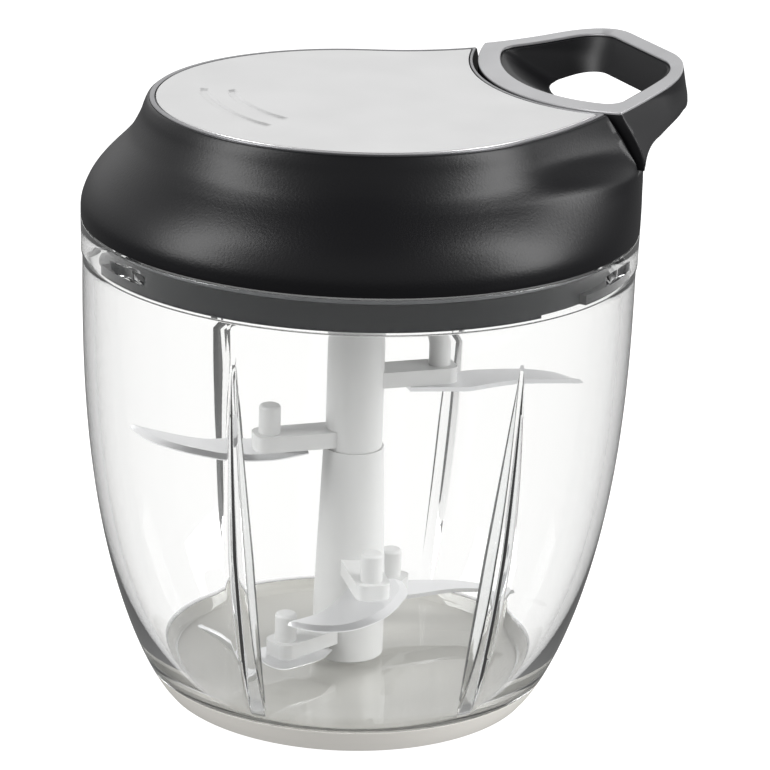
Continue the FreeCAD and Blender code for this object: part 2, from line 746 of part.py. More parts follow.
def make_cord_eyelet():
    """Flanged guide in the dock's wall, with a rounded mouth for the cord."""
    inner_face = dock_centre - dock_radius - dock_wall
    length = dock_wall - 0.2
    start = V(inner_face - eyelet_flange - seat_gap, 0, cord_level)
    along = V(1, 0, 0)
    eyelet = Part.makeCylinder(eyelet_flange_radius, eyelet_flange, start, along)
    eyelet = eyelet.fuse(Part.makeCylinder(eyelet_radius, eyelet_flange + length, start, along))
    bore = cord_radius + 0.4
    eyelet = eyelet.cut(Part.makeCylinder(bore, 20, start - along * 5, along))
    depth = eyelet_mouth_radius - bore
    return eyelet.cut(Part.makeCone(eyelet_mouth_radius, bore, depth, start, along)).removeSplitter()


def make_cord_lead():
    """Run of cord from the winding to the dock: a tangent, then a bend in the eyelet's mouth."""
    leave = winding_radius + cord_radius + part_gap
    bend_x = dock_centre - dock_radius - dock_wall - 0.2
    angle = -math.acos(leave / bend_x)
    start = V(leave * math.cos(angle), leave * math.sin(angle), cord_level)
    bend = V(bend_x, 0, cord_level)
    towards = (bend - start).normalize()
    half_turn = (math.pi / 2 + angle) / 2
    run = cord_bend_radius * math.tan(half_turn)
    arc_start = bend - towards * run
    arc_end = bend + V(run, 0, 0)
    centre = arc_end - V(0, cord_bend_radius, 0)
    middle = centre + (bend - centre).normalize() * cord_bend_radius
    finish = V(dock_centre - dock_radius, 0, cord_level)
    path = Part.Wire([line(start, arc_start), Part.Arc(arc_start, middle, arc_end).toShape(),
                      line(arc_end, finish)])
    section = Part.Wire([Part.Circle(start, towards, cord_radius).toShape()])
    return path.makePipeShell([section], True, False)


def make_lid_skirt():
    """Plug of the lid: bayonet skirt, floor plate and the hub's bearing collar."""
    inner = skirt_radius - skirt_wall
    plate_top = skirt_plate_base + skirt_plate
    bore = hub_boss_radius + running_gap
    collar = bore + bearing_wall
    groove = skirt_radius - seal_width
    skirt = turned([
        (bore, skirt_plate_base), (inner, skirt_plate_base), (inner, skirt_foot), (skirt_radius, skirt_foot),
        (skirt_radius, seal_base), (groove, seal_base), (groove, seal_base + seal_height),
        (skirt_radius, seal_base + seal_height), (skirt_radius, skirt_top), (inner, skirt_top),
        (inner, plate_top), (collar, plate_top), (collar, skirt_plate_base + bearing_height),
        (bore, skirt_plate_base + bearing_height)])
    low = rim_base + lug_base - channel_play
    high = rim_base + lug_base + lug_height + channel_play
    floor = skirt_radius - channel_depth
    for k in range(lug_count):
        lug = lug_azimuth + 360 / lug_count * k
        entry = lug - bayonet_turn
        skirt = skirt.cut(sector(floor, skirt_radius + 1, skirt_foot - 1, high,
                                 entry - entry_half_angle, entry + entry_half_angle))
        skirt = skirt.cut(sector(floor, skirt_radius + 1, low, high, entry, lug + lug_half_angle + 0.4))
    for azimuth in boss_azimuths:
        hole = cylinder(screw_radius + seat_gap, skirt_plate_base - 1, plate_top + 1, boss_circle)
        well = cylinder(screw_head_radius + 0.15, skirt_plate_base - 1, skirt_plate_base + screw_head * 0.6,
                        boss_circle)
        skirt = skirt.cut(at_azimuth(hole.fuse(well), azimuth))
    return skirt.removeSplitter()


def make_lid_seal():
    low = seal_base + seat_gap
    high = seal_base + seal_height - seat_gap
    inner = skirt_radius - seal_width + seat_gap
    outer = rim_bore_radius - part_gap
    return turned([(inner, low), (outer - 0.3, low), (outer, (low + high) / 2), (outer - 0.3, high),
                   (inner, high)])


def make_housing_screws():
    """Four pan-head screws, driven up through the skirt plate into the lid's bosses."""
    base = skirt_plate_base + screw_head * 0.6
    screws = []
    for azimuth in boss_azimuths:
        head = cylinder(screw_head_radius, base - screw_head, base - seat_gap / 2, boss_circle)
        slot = Part.makeBox(screw_head_radius * 1.4, 0.7, 0.7,
                            V(boss_circle - screw_head_radius * 0.7, -0.35, base - screw_head))
        shank = cylinder(screw_radius, base - 0.5, skirt_plate_base + screw_length, boss_circle)
        screws.append(at_azimuth(head.cut(slot).fuse(shank).removeSplitter(), azimuth))
    return Part.makeCompound(screws)


# ------------------------------------------------------------------ pull handle
def handle_outline_points(z):
    """Half of the handle's outline at a height, from its corner at the lid to its end. Below
    the top the corner flares with the lid's cheek and the end flares with the handle's draft."""
    slope = math.radians(handle_side_slope)
    along = V(math.cos(slope), -math.sin(slope), 0)
    across = V(math.sin(slope), math.cos(slope), 0)
    side_length = (handle_end - handle_corner.x) / along.x
    turn = math.pi / 2 - slope
    trim = handle_corner_radius * math.tan(turn / 2)
    straight = side_length - trim
    arc_centre = handle_corner + along * straight - across * handle_corner_radius
    samples = [(handle_corner + along * (straight * t), across, t * straight)
               for t in (0, 0.22, 0.48, 0.74, 1)]
    for t in (0.25, 0.5, 0.75, 1.0):
        angle = math.pi / 2 - slope - turn * t
        normal = V(math.cos(angle), math.sin(angle), 0)
        distance = straight + handle_corner_radius * turn * t
        samples.append((arc_centre + normal * handle_corner_radius, normal, distance))
    end_y = samples[-1][0].y
    samples.append((V(handle_end, end_y / 2, 0), V(1, 0, 0), distance + end_y / 2))
    _, corner_now = station_radii(z)
    _, corner_top = station_radii(top_height(handle_corner.x) - seam_gap)
    corner_flare = corner_now - corner_top
    points = []
    for point, normal, distance in samples:
        end_flare = min(handle_flare * (top_height(point.x) - z), handle_flare_limit)
        offset = blend(corner_flare, end_flare, distance / flare_run)
        moved = point + normal * offset
        points.append(V(moved.x, moved.y, z))
    points[0] = on_dock(handle_corner.Length + corner_flare, dock_radius - handle_gap) + V(0, 0, z)
    return points


def handle_wire(z):
    half = handle_outline_points(z)
    end = V(half[-1].x, 0, z)
    mirrored = [V(p.x, -p.y, p.z) for p in reversed(half)]
    outer = curve(half + [end] + mirrored)
    back = dock_radius - handle_gap
    inner = Part.Arc(mirrored[-1], V(dock_centre - back, 0, z), half[0]).toShape()
    return Part.Wire([outer, inner])


def handle_blank():
    levels = [dock_floor + lift for lift in (part_gap, 1.0, 4.5, 8.0, 11.5, 15.0, 20.5)]
    return Part.makeLoft([handle_wire(z) for z in levels], True, False)


def underside_cutter():
    """Everything under the grip ring: a foot that stands in the dock, then a hollow sweep up to the end."""
    low = dock_floor - 5
    heel, bend, neck, belly, lip_mid, lip = [V(x, 0, z) for x, z in underside_points]
    edges = [line(V(heel.x, 0, low), heel), Part.Arc(heel, bend, neck).toShape(), line(neck, belly),
             Part.Arc(belly, lip_mid, lip).toShape(), line(lip, V(cut_reach, 0, lip.z)),
             line(V(cut_reach, 0, lip.z), V(cut_reach, 0, low)),
             line(V(cut_reach, 0, low), V(heel.x, 0, low))]
    cutter = Part.Face(Part.Wire(edges)).extrude(V(0, 2 * cut_reach, 0))
    cutter.translate(V(0, -cut_reach, 0))
    return cutter


def opening_wire(z, left, end, side_inset):
    """Finger opening at one height: an arc towards the lid, straight sides and end, rounded corners."""
    slope = math.radians(handle_side_slope)
    ax, ay = math.cos(slope), -math.sin(slope)
    corner = handle_corner - V(-ay, ax, 0) * side_inset
    radius = dock_centre - left
    # the side meets the arc where it is one radius from the dock's centre
    dx, dy = corner.x - dock_centre, corner.y
    half_b = dx * ax + dy * ay
    reach = -half_b - math.sqrt(half_b ** 2 - (dx * dx + dy * dy - radius ** 2))
    near = V(corner.x + ax * reach, corner.y + ay * reach, z)
    far = V(end, corner.y + ay * (end - corner.x) / ax, z)
    near_m, far_m = V(near.x, -near.y, z), V(far.x, -far.y, z)
    loop = Part.Wire([Part.Arc(near_m, V(left, 0, z), near).toShape(), line(near, far), line(far, far_m),
                      line(far_m, near_m)])
    block = Part.Face(loop).extrude(V(0, 0, 1))
    upright = sorted([e for e in block.Edges if e.BoundBox.ZLength > 0.9], key=lambda e: e.CenterOfMass.x)
    rounded = block.makeFillet(opening_corner_radius, upright[:2])
    upright = [e for e in rounded.Edges if e.BoundBox.ZLength > 0.9 and abs(e.CenterOfMass.x - end) < 0.01
               and abs(abs(e.CenterOfMass.y) - far.y) < 0.01]
    rounded = rounded.makeFillet(opening_end_radius, upright)
    foot = min(rounded.Faces, key=lambda f: f.CenterOfMass.z)
    return foot.OuterWire


def frame_opening():
    left = dock_centre - (dock_radius - handle_gap - inner_rail)
    end = handle_end - end_width
    wires = [opening_wire(z, left, end, rail_width) for z in (opening_foot, opening_top)]
    return Part.makeLoft(wires, True, True)


def body_opening():
    """Finger opening through the body: its lid side is a scoop, the other sides have draft."""
    top_left = dock_centre - (dock_radius - handle_gap - inner_rail)
    end = handle_end - end_width
    end_level = top_height(end)
    wires = []
    for z, left in ((opening_foot, scoop_lip[0]), (scoop_lip[1], scoop_lip[0]), (scoop_top, top_left),
                    (opening_top, top_left)):
        drop = max(z, scoop_lip[1])
        side_inset = rail_width + opening_side_draft * max(opening_side_level - drop, 0.0)
        wires.append(opening_wire(z, left, end - opening_end_draft * (end_level - drop), side_inset))
    return Part.makeLoft(wires, True, True)


def make_handle_body():
    blank = handle_blank().cut(top_slab(-cut_height, frame_thickness)).cut(underside_cutter())
    blank = blank.cut(body_opening())
    blank = blank.cut(frame_opening().common(top_slab(-cut_height, frame_thickness + 2.0)))
    face = dock_centre - (dock_radius - handle_gap)
    hole_start = V(face - 1, 0, cord_level)
    hole = Part.makeCylinder(anchor_radius + seat_gap / 2, anchor_length + 1, hole_start, V(1, 0, 0))
    return blank.cut(hole).removeSplitter()


def make_handle_frame():
    return handle_blank().common(top_slab(0, frame_thickness)).cut(frame_opening()).removeSplitter()


def make_cord_anchor():
    """Barrel that grips the end of the cord in the handle."""
    face = dock_centre - (dock_radius - handle_gap)
    return Part.makeCylinder(anchor_radius, anchor_length - 0.3, V(face + 0.2, 0, cord_level), V(1, 0, 0))


# ------------------------------------------------------------------ all pieces
def build():
    parts = {
        "foot_cap": make_foot_cap(),
        "jar": make_jar(),
        "floor_pivot": make_floor_pivot(),
        "lower_shaft": make_lower_shaft(),
        "upper_shaft": make_upper_shaft(),
        "drive_hub": make_drive_hub(),
        "axle_screw": make_axle_screw(),
        "spool": make_spool(),
        "cord_winding": make_cord_winding(),
        "spring_cover": make_spring_cover(),
        "pawl_a": make_pawl(0),
        "pawl_b": make_pawl(180),
        "spool_axle": make_axle(),
        "spool_washer": make_spool_washer(),
        "recoil_spring": make_recoil_spring(),
        "lid_housing": make_lid_housing(),
        "top_plate": make_top_plate(),
        "top_trim": make_top_trim(),
        "cord_eyelet": make_cord_eyelet(),
        "cord_lead": make_cord_lead(),
        "lid_skirt": make_lid_skirt(),
        "lid_seal": make_lid_seal(),
        "housing_screws": make_housing_screws(),
        "handle_body": make_handle_body(),
        "handle_frame": make_handle_frame(),
        "cord_anchor": make_cord_anchor(),
    }
    for name, *row in upper_blades + lower_blades:
        parts[name] = make_blade(*row)
    return parts


os.makedirs("parts", exist_ok=True)
for node, shape in build().items():
    shape.exportStep("parts/%s.step" % node)
    print("%-18s solids %d valid %s volume %.1f" % (node, len(shape.Solids), shape.isValid(), shape.Volume))
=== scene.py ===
import math

import bmesh
import bpy
import numpy as np
from mathutils import Matrix, Vector


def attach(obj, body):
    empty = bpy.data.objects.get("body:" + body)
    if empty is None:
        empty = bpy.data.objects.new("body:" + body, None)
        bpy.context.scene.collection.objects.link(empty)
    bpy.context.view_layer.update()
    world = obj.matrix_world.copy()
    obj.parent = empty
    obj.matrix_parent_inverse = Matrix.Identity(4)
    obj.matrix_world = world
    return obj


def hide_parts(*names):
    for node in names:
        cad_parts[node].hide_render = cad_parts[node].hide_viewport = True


# Looks of a pull-cord food chopper. Sizes are millimetres, turned into metres when a mesh is made.
# +Z is up the jar's axis and +X points to the pull handle.
MM = 0.001

# ---- jar and foot
FOOT_RADIUS, JAR_RADIUS, JAR_HEIGHT = 41.5, 60.8, 101.75
JAR_WALL, JAR_FOOT_WALL, FOOT_HEIGHT, FOOT_FLOOR, FOOT_WALL = 2.6, 3.0, 6.0, 1.8, 1.6
INNER_FLOOR = 5.0
RIM_TOP, RIM_RADIUS, RIM_BORE, RIM_STEP, RIM_LEDGE = 109.2, 61.25, 59.2, 0.3, 101.0
FIN_AZIMUTHS = (-139.5, -78.5, 40.5, 101.5)
FIN_TOP, FIN_FOOT_RADIUS, FIN_HALF = 90.7, 42.0, 1.65
LUG_AZIMUTHS, LUG_HALF_ANGLE, LUG_DEPTH = (-47.5, 72.5, 192.5), 3.9, 1.5
LUG_LOW, LUG_HIGH = 104.2, 106.6

# ---- lid
SEAM, LID_WALL, LID_TOP, CEILING_DROP = 109.5, 2.2, 135.86, 3.2
RISE_START, RISE_RADIUS = 21.9, 156.0
LIP_DROP, TRIM_INSET, TRIM_WIDTH, TRIM_DEPTH, PLATE_GAP, PLATE_DEPTH = 0.35, 0.5, 1.1, 1.2, 0.3, 0.9
SHOULDER_AZIMUTH, CORNER_AZIMUTH = 66.4, 37.2
STATION_Z = np.array([0, 3.5, 6.2, 8.5, 10.8, 13.1, 15.4, 17.7, 19.9, 22.2, 24.5, 26.5, 29.0]) + SEAM
BACK_RADII = [61.25, 61.1, 60.2, 59.0, 57.3, 55.2, 52.9, 50.9, 49.6, 48.5, 47.7, 46.8, 46.0]
CORNER_RADII = [61.25, 61.3, 61.3, 61.25, 61.25, 61.2, 61.2, 60.8, 59.8, 58.2, 56.1, 54.2, 52.3]
DOCK_CENTRE, DOCK_RADIUS, DOCK_FLOOR = 86.8, 54.8, 125.0

# ---- pull handle
HANDLE_GAP = 1.15
HANDLE_CORNER, HANDLE_END, SIDE_SLOPE, END_CORNER = np.array([45.014, 33.648]), 70.3, math.radians(25.2), 18.5
CHEEK_SHARE = 0.75      # how much of the lid's flare beside the dock the handle's corners follow
FLARE_RUN, CORNER_RUN = 34, 9      # along the side: to the end's own draft, and past the corner's slide
FRAME_DEPTH, RAIL, END_RAIL, LID_RAIL = 0.5, 4.2, 3.0, 5.0
NEAR_CORNER_TRIM, OPENING_FOOT_CORNER, OPENING_CORNER = 3.6, 7.5, 11.0
SCOOP_TOP, SCOOP_LIP = 137.0, (49.6, 131.2)
SIDE_DRAFT, END_DRAFT = 0.6, 0.28
UNDERSIDE = ((49.2, 125.3), (51.0, 129.2), (55.5, 131.2), (65.6, 134.4), (69.9, 135.3), (72.8, 138.6))
CORD_LEVEL = 128.3

# ---- clear plastic: rays that have met more surfaces than this pass on unbent, and the grey per metre
RAYS_BENT, GREY_PER_METRE = 3.5, 13.0

# ---- blades: cutting edge and back from the rivet stub's side to the swept tip, about the stub
LONG_BLADE = (((-8.2, 3.6), (0.8, 5.9), (7.0, 5.0), (14.0, 1.5), (20.0, -2.8), (24.8, -8.5), (28.0, -18.4)),
              ((-8.2, -4.3), (5.0, -7.2), (15.1, -9.6), (23.0, -14.6), (28.0, -18.4)))
SHORT_BLADE = (((-11.6, 4.9), (-6.0, 7.2), (1.0, 7.0), (8.0, 5.7), (14.2, 3.0), (19.2, -1.2), (21.2, -7.2),
                (19.8, -14.4)),
               ((-8.0, -5.2), (4.5, -6.6), (13.7, -9.4), (19.8, -14.4)))
PEG_OFFSET, BLADE_THICKNESS, BLADE_BEVEL, EDGE_SHARE = 19.7, 1.0, 1.9, 0.25
BLADE_LIFT, BEND_RADIUS, BLADE_COLUMNS = 0.03, 9.0, 48     # the lift sinks the blade's top a hair into the arm
# name, arm azimuth, underside of the arm, outline, turn on the stub, scale, bend start, bend angle
BLADES = (
    ("blade_upper_right", -6.2, 70.5, LONG_BLADE, 0.0, 1.0, 3.8, 9.5),
    ("blade_upper_left", -186.2, 57.3, LONG_BLADE, 0.0, 1.0, 12.0, 5.0),
    ("blade_lower_front", -100.0, 28.0, SHORT_BLADE, -25.0, 1.0, 0.0, 0.0),
    ("blade_lower_back", 36.8, 14.8, LONG_BLADE, -25.0, 0.85, 0.0, 0.0),
    ("blade_lower_left", -159.0, 10.8, SHORT_BLADE, 0.0, 0.9, 3.8, 45.0),
)


# ------------------------------------------------------------------ meshes from arrays
def grid_faces(rows, cols, wrap_rows, wrap_cols):
    """Quads between neighbouring points of a rows x cols grid."""
    r, c = np.meshgrid(np.arange(rows - (not wrap_rows)), np.arange(cols - (not wrap_cols)), indexing="ij")
    up, on = (r + 1) % rows, (c + 1) % cols
    return np.stack([r * cols + c, r * cols + on, up * cols + on, up * cols + c], -1).reshape(-1, 4)


def make_piece(name, points, material, body, nodes=(), sharp=35.0, wrap_rows=True, wrap_cols=True):
    """A closed piece from a grid of points P[row, column] in millimetres. Rows that shrink to one
    point close the surface there, because points in the same place are joined."""
    rows, cols = points.shape[:2]
    mesh = bpy.data.meshes.new(name)
    faces = grid_faces(rows, cols, wrap_rows, wrap_cols)
    mesh.from_pydata((points.reshape(-1, 3) * MM).tolist(), [], faces.tolist())
    work = bmesh.new()
    work.from_mesh(mesh)
    bmesh.ops.remove_doubles(work, verts=work.verts, dist=2e-6)
    bmesh.ops.dissolve_degenerate(work, edges=work.edges, dist=1e-6)
    bmesh.ops.recalc_face_normals(work, faces=work.faces)
    work.to_mesh(mesh)
    work.free()
    mesh.polygons.foreach_set("use_smooth", np.ones(len(mesh.polygons), bool))
    mesh.set_sharp_from_angle(angle=math.radians(sharp))
    mesh.materials.append(material)
    obj = bpy.data.objects.new(name, mesh)
    bpy.context.scene.collection.objects.link(obj)
    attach(obj, body)
    if nodes:
        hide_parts(*nodes)
    return obj


def soft_corners(corners, radius, steps=5):
    """An open outline with its corners rounded: corner p becomes the curve
    (1-t)^2 a + 2t(1-t) p + t^2 b, t in 0..1, where a and b lie radius*tan(turn/2) before and after p."""
    p = np.asarray(corners, float)
    radius = np.broadcast_to(np.asarray(radius, float), len(p)).copy()
    radius[[0, -1]] = 0
    back, ahead = np.roll(p, 1, 0) - p, np.roll(p, -1, 0) - p
    len_back, len_ahead = np.linalg.norm(back, axis=1), np.linalg.norm(ahead, axis=1)
    len_back[0], len_ahead[-1] = 1, 1
    cosine = np.sum(back * ahead, 1) / (len_back * len_ahead)
    turn = math.pi - np.arccos(np.clip(cosine, -1, 1))
    reach = np.minimum(radius * np.tan(turn / 2), 0.48 * np.minimum(len_back, len_ahead))[:, None]
    a, b = p + back / len_back[:, None] * reach, p + ahead / len_ahead[:, None] * reach
    t = np.linspace(0, 1, steps)[None, :, None]
    out = (1 - t) ** 2 * a[:, None] + 2 * t * (1 - t) * p[:, None] + t ** 2 * b[:, None]
    out = out.reshape(-1, p.shape[1])
    keep = np.append(True, np.linalg.norm(np.diff(out, axis=0), axis=1) > 1e-4)
    return out[keep]


def smooth(x, xs, ys):
    """Cubic curve through (xs, ys) with slopes from the neighbouring points:
    y = h00 y0 + h10 d m0 + h01 y1 + h11 d m1 on each stretch of length d."""
    xs, ys, x = np.asarray(xs, float), np.asarray(ys, float), np.asarray(x, float)
    slope = np.gradient(ys, xs)
    x = np.clip(x, xs[0], xs[-1])
    k = np.clip(np.searchsorted(xs, x) - 1, 0, len(xs) - 2)
    d = xs[k + 1] - xs[k]
    t = (x - xs[k]) / d
    return ((2 * t ** 3 - 3 * t ** 2 + 1) * ys[k] + (t ** 3 - 2 * t ** 2 + t) * d * slope[k]
            + (3 * t ** 2 - 2 * t ** 3) * ys[k + 1] + (t ** 3 - t ** 2) * d * slope[k + 1])


def ease(t):
    t = np.clip(t, 0, 1)
    return t * t * (3 - 2 * t)


def turned(profile, columns=192):
    """Surface of revolution P(r, z, a) = (r cos a, r sin a, z) of an outline of (r, z) points."""
    angle = np.arange(columns) * (2 * math.pi / columns)
    r, z = profile[:, 0][:, None], profile[:, 1][:, None]
    return np.stack([r * np.cos(angle), r * np.sin(angle), z + 0 * angle], -1)


# ------------------------------------------------------------------ materials
def principled(name, colour, roughness, metallic=0.0, **sockets):
    mat = bpy.data.materials.new(name)
    mat.use_nodes = True
    shader = mat.node_tree.nodes["Principled BSDF"]
    shader.inputs["Base Color"].default_value = (*colour, 1.0)
    shader.inputs["Roughness"].default_value = roughness
    shader.inputs["Metallic"].default_value = metallic
    for key, value in sockets.items():
        shader.inputs[key.replace("_", " ")].default_value = value
    return mat


def noise(mat, scale, detail):
    """Noise over the object's own coordinates."""
    tree = mat.node_tree
    coords = tree.nodes.new("ShaderNodeTexCoord")
    texture = tree.nodes.new("ShaderNodeTexNoise")
    texture.inputs["Scale"].default_value = scale
    texture.inputs["Detail"].default_value = detail
    tree.links.new(coords.outputs["Object"], texture.inputs["Vector"])
    return texture


def add_grain(mat, scale, height, detail=2.0):
    """Fine bumps of that height in metres."""
    tree = mat.node_tree
    texture = noise(mat, scale, detail)
    bump = tree.nodes.new("ShaderNodeBump")
    bump.inputs["Strength"].default_value = 1.0
    bump.inputs["Distance"].default_value = height
    tree.links.new(texture.outputs["Fac"], bump.inputs["Height"])
    tree.links.new(bump.outputs["Normal"], tree.nodes["Principled BSDF"].inputs["Normal"])


def add_mottle(mat, scale, socket, low, high):
    """The socket wanders between two values over the surface."""
    tree = mat.node_tree
    texture = noise(mat, scale, 3.0)
    ramp = tree.nodes.new("ShaderNodeMapRange")
    ramp.inputs["From Min"].default_value, ramp.inputs["From Max"].default_value = 0.3, 0.7
    ramp.inputs["To Min"].default_value, ramp.inputs["To Max"].default_value = low, high
    tree.links.new(texture.outputs["Fac"], ramp.inputs["Value"])
    tree.links.new(ramp.outputs["Result"], tree.nodes["Principled BSDF"].inputs[socket])


def clear_material():
    """Clear plastic that lets shadow rays through, so that what is in the jar stays lit, and rays
    that have crossed both walls and are caught in a fin. It is greyer where it is looked through
    edge on."""
    mat = principled("clear_plastic", (1.0, 1.0, 0.995), 0.0, IOR=1.49, Transmission_Weight=1.0)
    tree = mat.node_tree
    shader, out = tree.nodes["Principled BSDF"], tree.nodes["Material Output"]
    path = tree.nodes.new("ShaderNodeLightPath")
    through = tree.nodes.new("ShaderNodeBsdfTransparent")
    through.inputs["Color"].default_value = (0.96, 0.965, 0.965, 1)
    deep, either = tree.nodes.new("ShaderNodeMath"), tree.nodes.new("ShaderNodeMath")
    deep.operation, either.operation = "GREATER_THAN", "MAXIMUM"
    deep.inputs[1].default_value = RAYS_BENT
    tree.links.new(path.outputs["Ray Depth"], deep.inputs[0])
    tree.links.new(deep.outputs["Value"], either.inputs[0])
    tree.links.new(path.outputs["Is Shadow Ray"], either.inputs[1])
    mix = tree.nodes.new("ShaderNodeMixShader")
    tree.links.new(either.outputs["Value"], mix.inputs["Fac"])
    tree.links.new(shader.outputs["BSDF"], mix.inputs[1])
    tree.links.new(through.outputs["BSDF"], mix.inputs[2])
    tree.links.new(mix.outputs["Shader"], out.inputs["Surface"])
    thick = tree.nodes.new("ShaderNodeVolumeAbsorption")
    thick.inputs["Color"].default_value = (0, 0, 0, 1)
    thick.inputs["Density"].default_value = GREY_PER_METRE
    tree.links.new(thick.outputs["Volume"], out.inputs["Volume"])
    return mat


def make_materials():
    mats = {
        "clear_plastic": clear_material(),
        "foot_plastic": principled("foot_plastic", (0.66, 0.64, 0.60), 0.42),
        "black_plastic": principled("black_plastic", (0.005, 0.005, 0.006), 0.36, Specular_IOR_Level=0.3),
        "handle_black": principled("handle_black", (0.007, 0.007, 0.008), 0.42, Specular_IOR_Level=0.3),
        "silver_plate": principled("silver_plate", (0.74, 0.74, 0.74), 0.34, 0.85),
        "silver_trim": principled("silver_trim", (0.27, 0.27, 0.28), 0.32, 0.9),
        "frame_grey": principled("frame_grey", (0.46, 0.46, 0.47), 0.34, 0.7),
        "skirt_plastic": principled("skirt_plastic", (0.006, 0.007, 0.008), 0.36, Specular_IOR_Level=0.22),
        "white_plastic": principled("white_plastic", (0.63, 0.63, 0.625), 0.38),
        "blade_steel": principled("blade_steel", (0.80, 0.80, 0.81), 0.33, 0.85),
        "screw_steel": principled("screw_steel", (0.55, 0.55, 0.56), 0.30, 1.0),
        "spring_steel": principled("spring_steel", (0.30, 0.31, 0.34), 0.32, 1.0),
        "acetal": principled("acetal", (0.78, 0.78, 0.75), 0.40),
        "grey_plastic": principled("grey_plastic", (0.16, 0.165, 0.175), 0.40),
        "cord_fibre": principled("cord_fibre", (0.72, 0.72, 0.69), 0.85),
        "seal_rubber": principled("seal_rubber", (0.12, 0.125, 0.13), 0.6),
    }
    add_grain(mats["black_plastic"], 1900, 0.00003)
    add_grain(mats["handle_black"], 1900, 0.00001)
    add_grain(mats["foot_plastic"], 1500, 0.000006)
    add_grain(mats["white_plastic"], 900, 0.000008)
    add_grain(mats["silver_plate"], 700, 0.000003, 3.0)
    add_grain(mats["cord_fibre"], 900, 0.00015)
    add_mottle(mats["silver_plate"], 60, "Roughness", 0.33, 0.40)
    add_mottle(mats["blade_steel"], 150, "Roughness", 0.34, 0.39)
    add_mottle(mats["frame_grey"], 90, "Roughness", 0.30, 0.38)
    for name in ("silver_trim", "skirt_plastic", "screw_steel", "spring_steel", "acetal", "grey_plastic",
                 "seal_rubber"):
        rough = mats[name].node_tree.nodes["Principled BSDF"].inputs["Roughness"].default_value
        add_mottle(mats[name], 120, "Roughness", rough - 0.03, rough + 0.03)
    return mats


# ------------------------------------------------------------------ jar
def jar_outer(z):
    """R(z) = foot + (rim - foot)(1 - (1 - z/h)^2.6)^0.8: steep at the foot, nearly upright at the rim."""
    t = np.clip(z / JAR_HEIGHT, 0, 1)
    return FOOT_RADIUS + (JAR_RADIUS - FOOT_RADIUS) * (1 - (1 - t) ** 2.6) ** 0.8


def jar_inner(z):
    return jar_outer(z) - JAR_WALL - JAR_FOOT_WALL * np.clip(1 - z / JAR_HEIGHT, 0, 1) ** 8


def fin_columns(z):
    """Azimuth of each grid column at height z, and how much of the fin's depth stands there: the
    columns keep to the sides of the four fins, s = -1..1 across a fin, and are even between them."""
    across = np.array([-1.9, -1.5, -1.2, -1.04, -0.97, -0.86, -0.6, 0, 0.6, 0.86, 0.97, 1.04, 1.2, 1.5, 1.9])
    depth = np.array([0, 0.012, 0.05, 0.14, 0.86, 0.97, 1, 1, 1, 0.97, 0.86, 0.14, 0.05, 0.012, 0])
    taper = np.interp(z, [FIN_TOP * 0.52, FIN_TOP], [1.0, 0.3])
    half = np.degrees(FIN_HALF * taper / np.maximum(jar_inner(z), 40))[:, None] * across
    azimuths = sorted(FIN_AZIMUTHS)
    angles, weights = [], []
    for k, fin in enumerate(azimuths):
        following = azimuths[(k + 1) % 4] + (360 if k == 3 else 0)
        angles.append(fin + half)
        weights.append(np.broadcast_to(depth, half.shape))
        t = np.linspace(0, 1, 52)[None, 1:-1]
        start, end = (fin + half[:, -1:]), (following + half[:, :1])
        angles.append(start + (end - start) * t)
        weights.append(np.zeros((len(z), 50)))
    return np.radians(np.hstack(angles)), np.hstack(weights)


